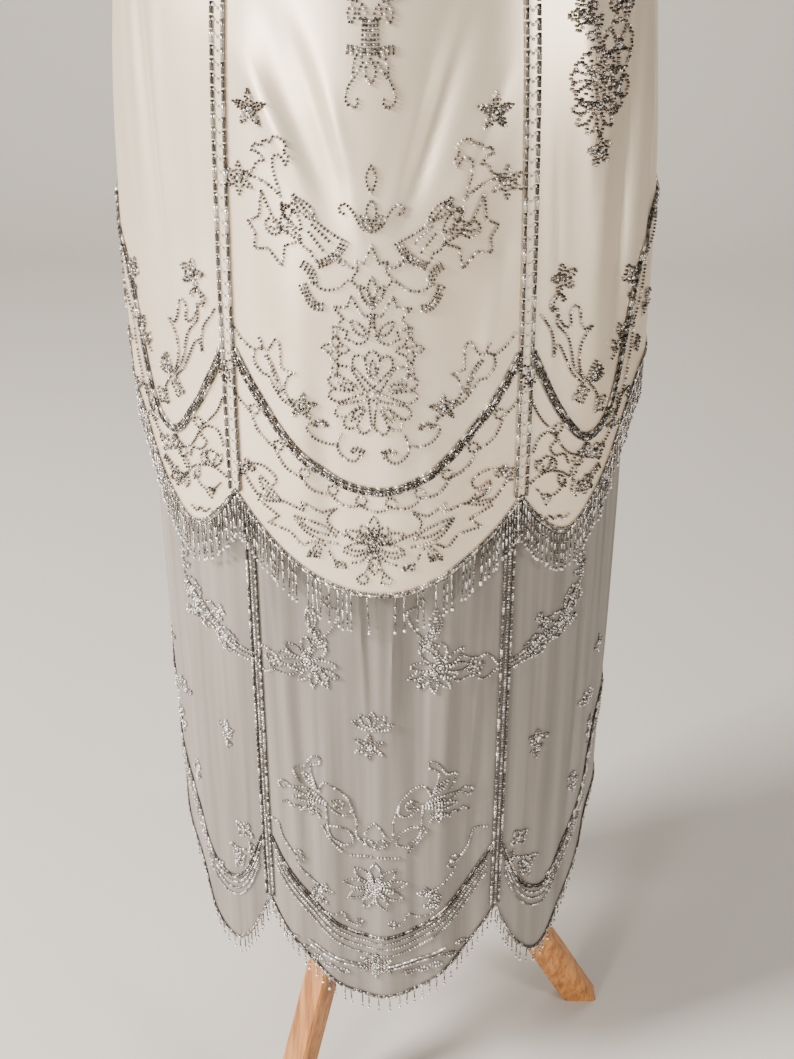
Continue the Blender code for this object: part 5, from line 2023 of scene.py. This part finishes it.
@dataclass
class Studio:
    """Plain pale floor and wall, soft lights and the camera at the photo's angle."""

    focal_px: float = 1430.0
    frame_height_px: float = 1059.0
    sensor: float = 36.0
    camera_place: tuple[float, float, float] = (0.0570, -1.0385, 1.15)
    camera_tilt: float = 60.0
    camera_turn: float = 2.7
    aim: tuple[float, float, float] = (0.0, 0.0, 0.65)
    floor_back: float = 2.2
    floor_bend: float = 0.8
    floor_half_width: float = 5.0

    def build(self) -> None:
        """Build floor, world, lights and camera."""
        self.add_floor()
        world = bpy.data.worlds.new("studio")
        bpy.context.scene.world = world
        world.use_nodes = True
        backdrop = world.node_tree.nodes["Background"]
        backdrop.inputs["Color"].default_value = linear("#E6E3DE")
        backdrop.inputs["Strength"].default_value = 0.14
        self.add_light("key", (-2.2, -1.0, 1.9), 0.7, 205.0)
        self.add_light("sheen", (-1.3, -2.3, 0.85), 0.5, 40.0)
        self.add_light("fill", (2.3, -1.4, 1.0), 0.6, 36.0)
        self.add_light("rim", (0.6, 2.0, 2.6), 1.6, 30.0)
        self.add_camera()

    def add_floor(self) -> None:
        """Floor that rises into a plain wall behind the dress."""
        back, bend, half_width = self.floor_back, self.floor_bend, self.floor_half_width
        profile = [(-4.0, 0.0), (back, 0.0)]
        for step in range(1, 13):
            turn = math.radians(90.0 * step / 12.0)
            profile.append((back + bend * math.sin(turn), bend - bend * math.cos(turn)))
        profile.append((back + bend, 4.0))
        points = np.array([(side, y, z) for y, z in profile for side in (-half_width, half_width)])
        faces = [(row * 2, row * 2 + 1, row * 2 + 3, row * 2 + 2)
                 for row in range(len(profile) - 1)]
        material, _, _ = new_material("studio_paper", {
            "Base Color": linear("#D6D2CB"), "Roughness": 0.85, "Specular IOR Level": 0.2})
        floor = make_mesh("studio_floor", points, faces, material, 80.0)

    def add_light(self, name: str, place: tuple[float, float, float], size: float,
                  power: float) -> None:
        """Square soft light that faces the middle of the skirt."""
        light = bpy.data.lights.new(name, "AREA")
        light.size = size
        light.energy = power
        light.color = linear("#FFF8F0")[:3]
        lamp = add_object(name, light)
        lamp.location = place
        lamp.rotation_euler = (Vector(self.aim) - lamp.location).to_track_quat("-Z", "Y").to_euler()

    def add_camera(self) -> None:
        """Camera that frames the lower part of the dress, looking down on it."""
        lens = bpy.data.cameras.new("camera")
        lens.sensor_width = self.sensor
        lens.lens = self.sensor * self.focal_px / self.frame_height_px
        camera = add_object("camera", lens)
        camera.location = self.camera_place
        camera.rotation_euler = (math.radians(self.camera_tilt), 0.0,
                                 math.radians(self.camera_turn))
        bpy.context.scene.camera = camera


def main() -> None:
    """Build the dress, what it hangs on and the studio."""
    logging.basicConfig(level=logging.INFO, format="%(name)s: %(message)s")
    satin_finish = SilkCharmeuse().build()
    georgette_finish = SilkGeorgette().build()
    silver = GlassBead("silver_lined_seed_glass", "#2F2C29", "#6F6A64", "#F4F0EA").build()
    bugle = GlassBead("drawn_bugle_glass", "#5A5753", "#A5A29C", "#F7F4EE").build()
    gunmetal = GlassBead("gunmetal_bugle_glass", "#3A3733", "#6B6761", "#DAD6CF").build()
    crystal = GlassBead("cut_crystal", "#C9C6C0", "#ECEAE6", "#FFFFFF", 0.25, 0.08).build()
    bright = GlassBead("silver_lined_bright_glass", "#6B6762", "#BDB9B3", "#FFFEFA", 0.6).build()
    light = {Bead.SEED: silver, Bead.BUGLE: bugle, Bead.DROP: crystal}
    pale = {Bead.SEED: bright, Bead.BUGLE: bright, Bead.DROP: crystal}
    dark = {Bead.SEED: gunmetal, Bead.BUGLE: gunmetal, Bead.DROP: crystal}

    satin_tube = SatinTube(SATIN_OVALS, SATIN_FOLDS + SATIN_CREASES)
    georgette_tube = GeorgetteTube(GEORGETTE_OVALS, GEORGETTE_PLEATS, satin_tube)
    satin = ClothLayer("satin", satin_tube, satin_top, SATIN_HEM, SATIN_WALL, satin_finish, "hung")
    georgette = ClothLayer("georgette", georgette_tube, georgette_top, GEORGETTE_HEM,
                           GEORGETTE_WALL, georgette_finish, "gathered", 96, 56, 36)
    satin.build()
    georgette.build()
    form = DressForm(FormLinen().build()).build()
    Stand().dress()

    tree = BeadTree()
    beader = Beader(tree, light)
    satin_beads = SatinBeadwork(satin, beader, dark)
    satin_beads.build()
    georgette_beads = GeorgetteBeadwork(georgette, Beader(tree, pale, 1931), dark)
    georgette_beads.build()
    satin_fringe = Fringe("satin_fringe", satin_tube, SATIN_HEM, beader, 0.0036, 3, 2).build()
    georgette_fringe = Fringe("georgette_fringe", georgette_tube, GEORGETTE_HEM, beader, 0.0085,
                              1, 2, sparse=0.1).build()
    satin_beads.trims["front"].append(satin_fringe)
    georgette_beads.trims["front"].append(georgette_fringe)
    for panel, binding in EdgeBinding(satin_tube, satin_finish).build().items():
        satin_beads.trims[panel].append(binding)

    satin.declare()
    georgette.declare()
    Studio().build()


if __name__ == "__main__":
    main()
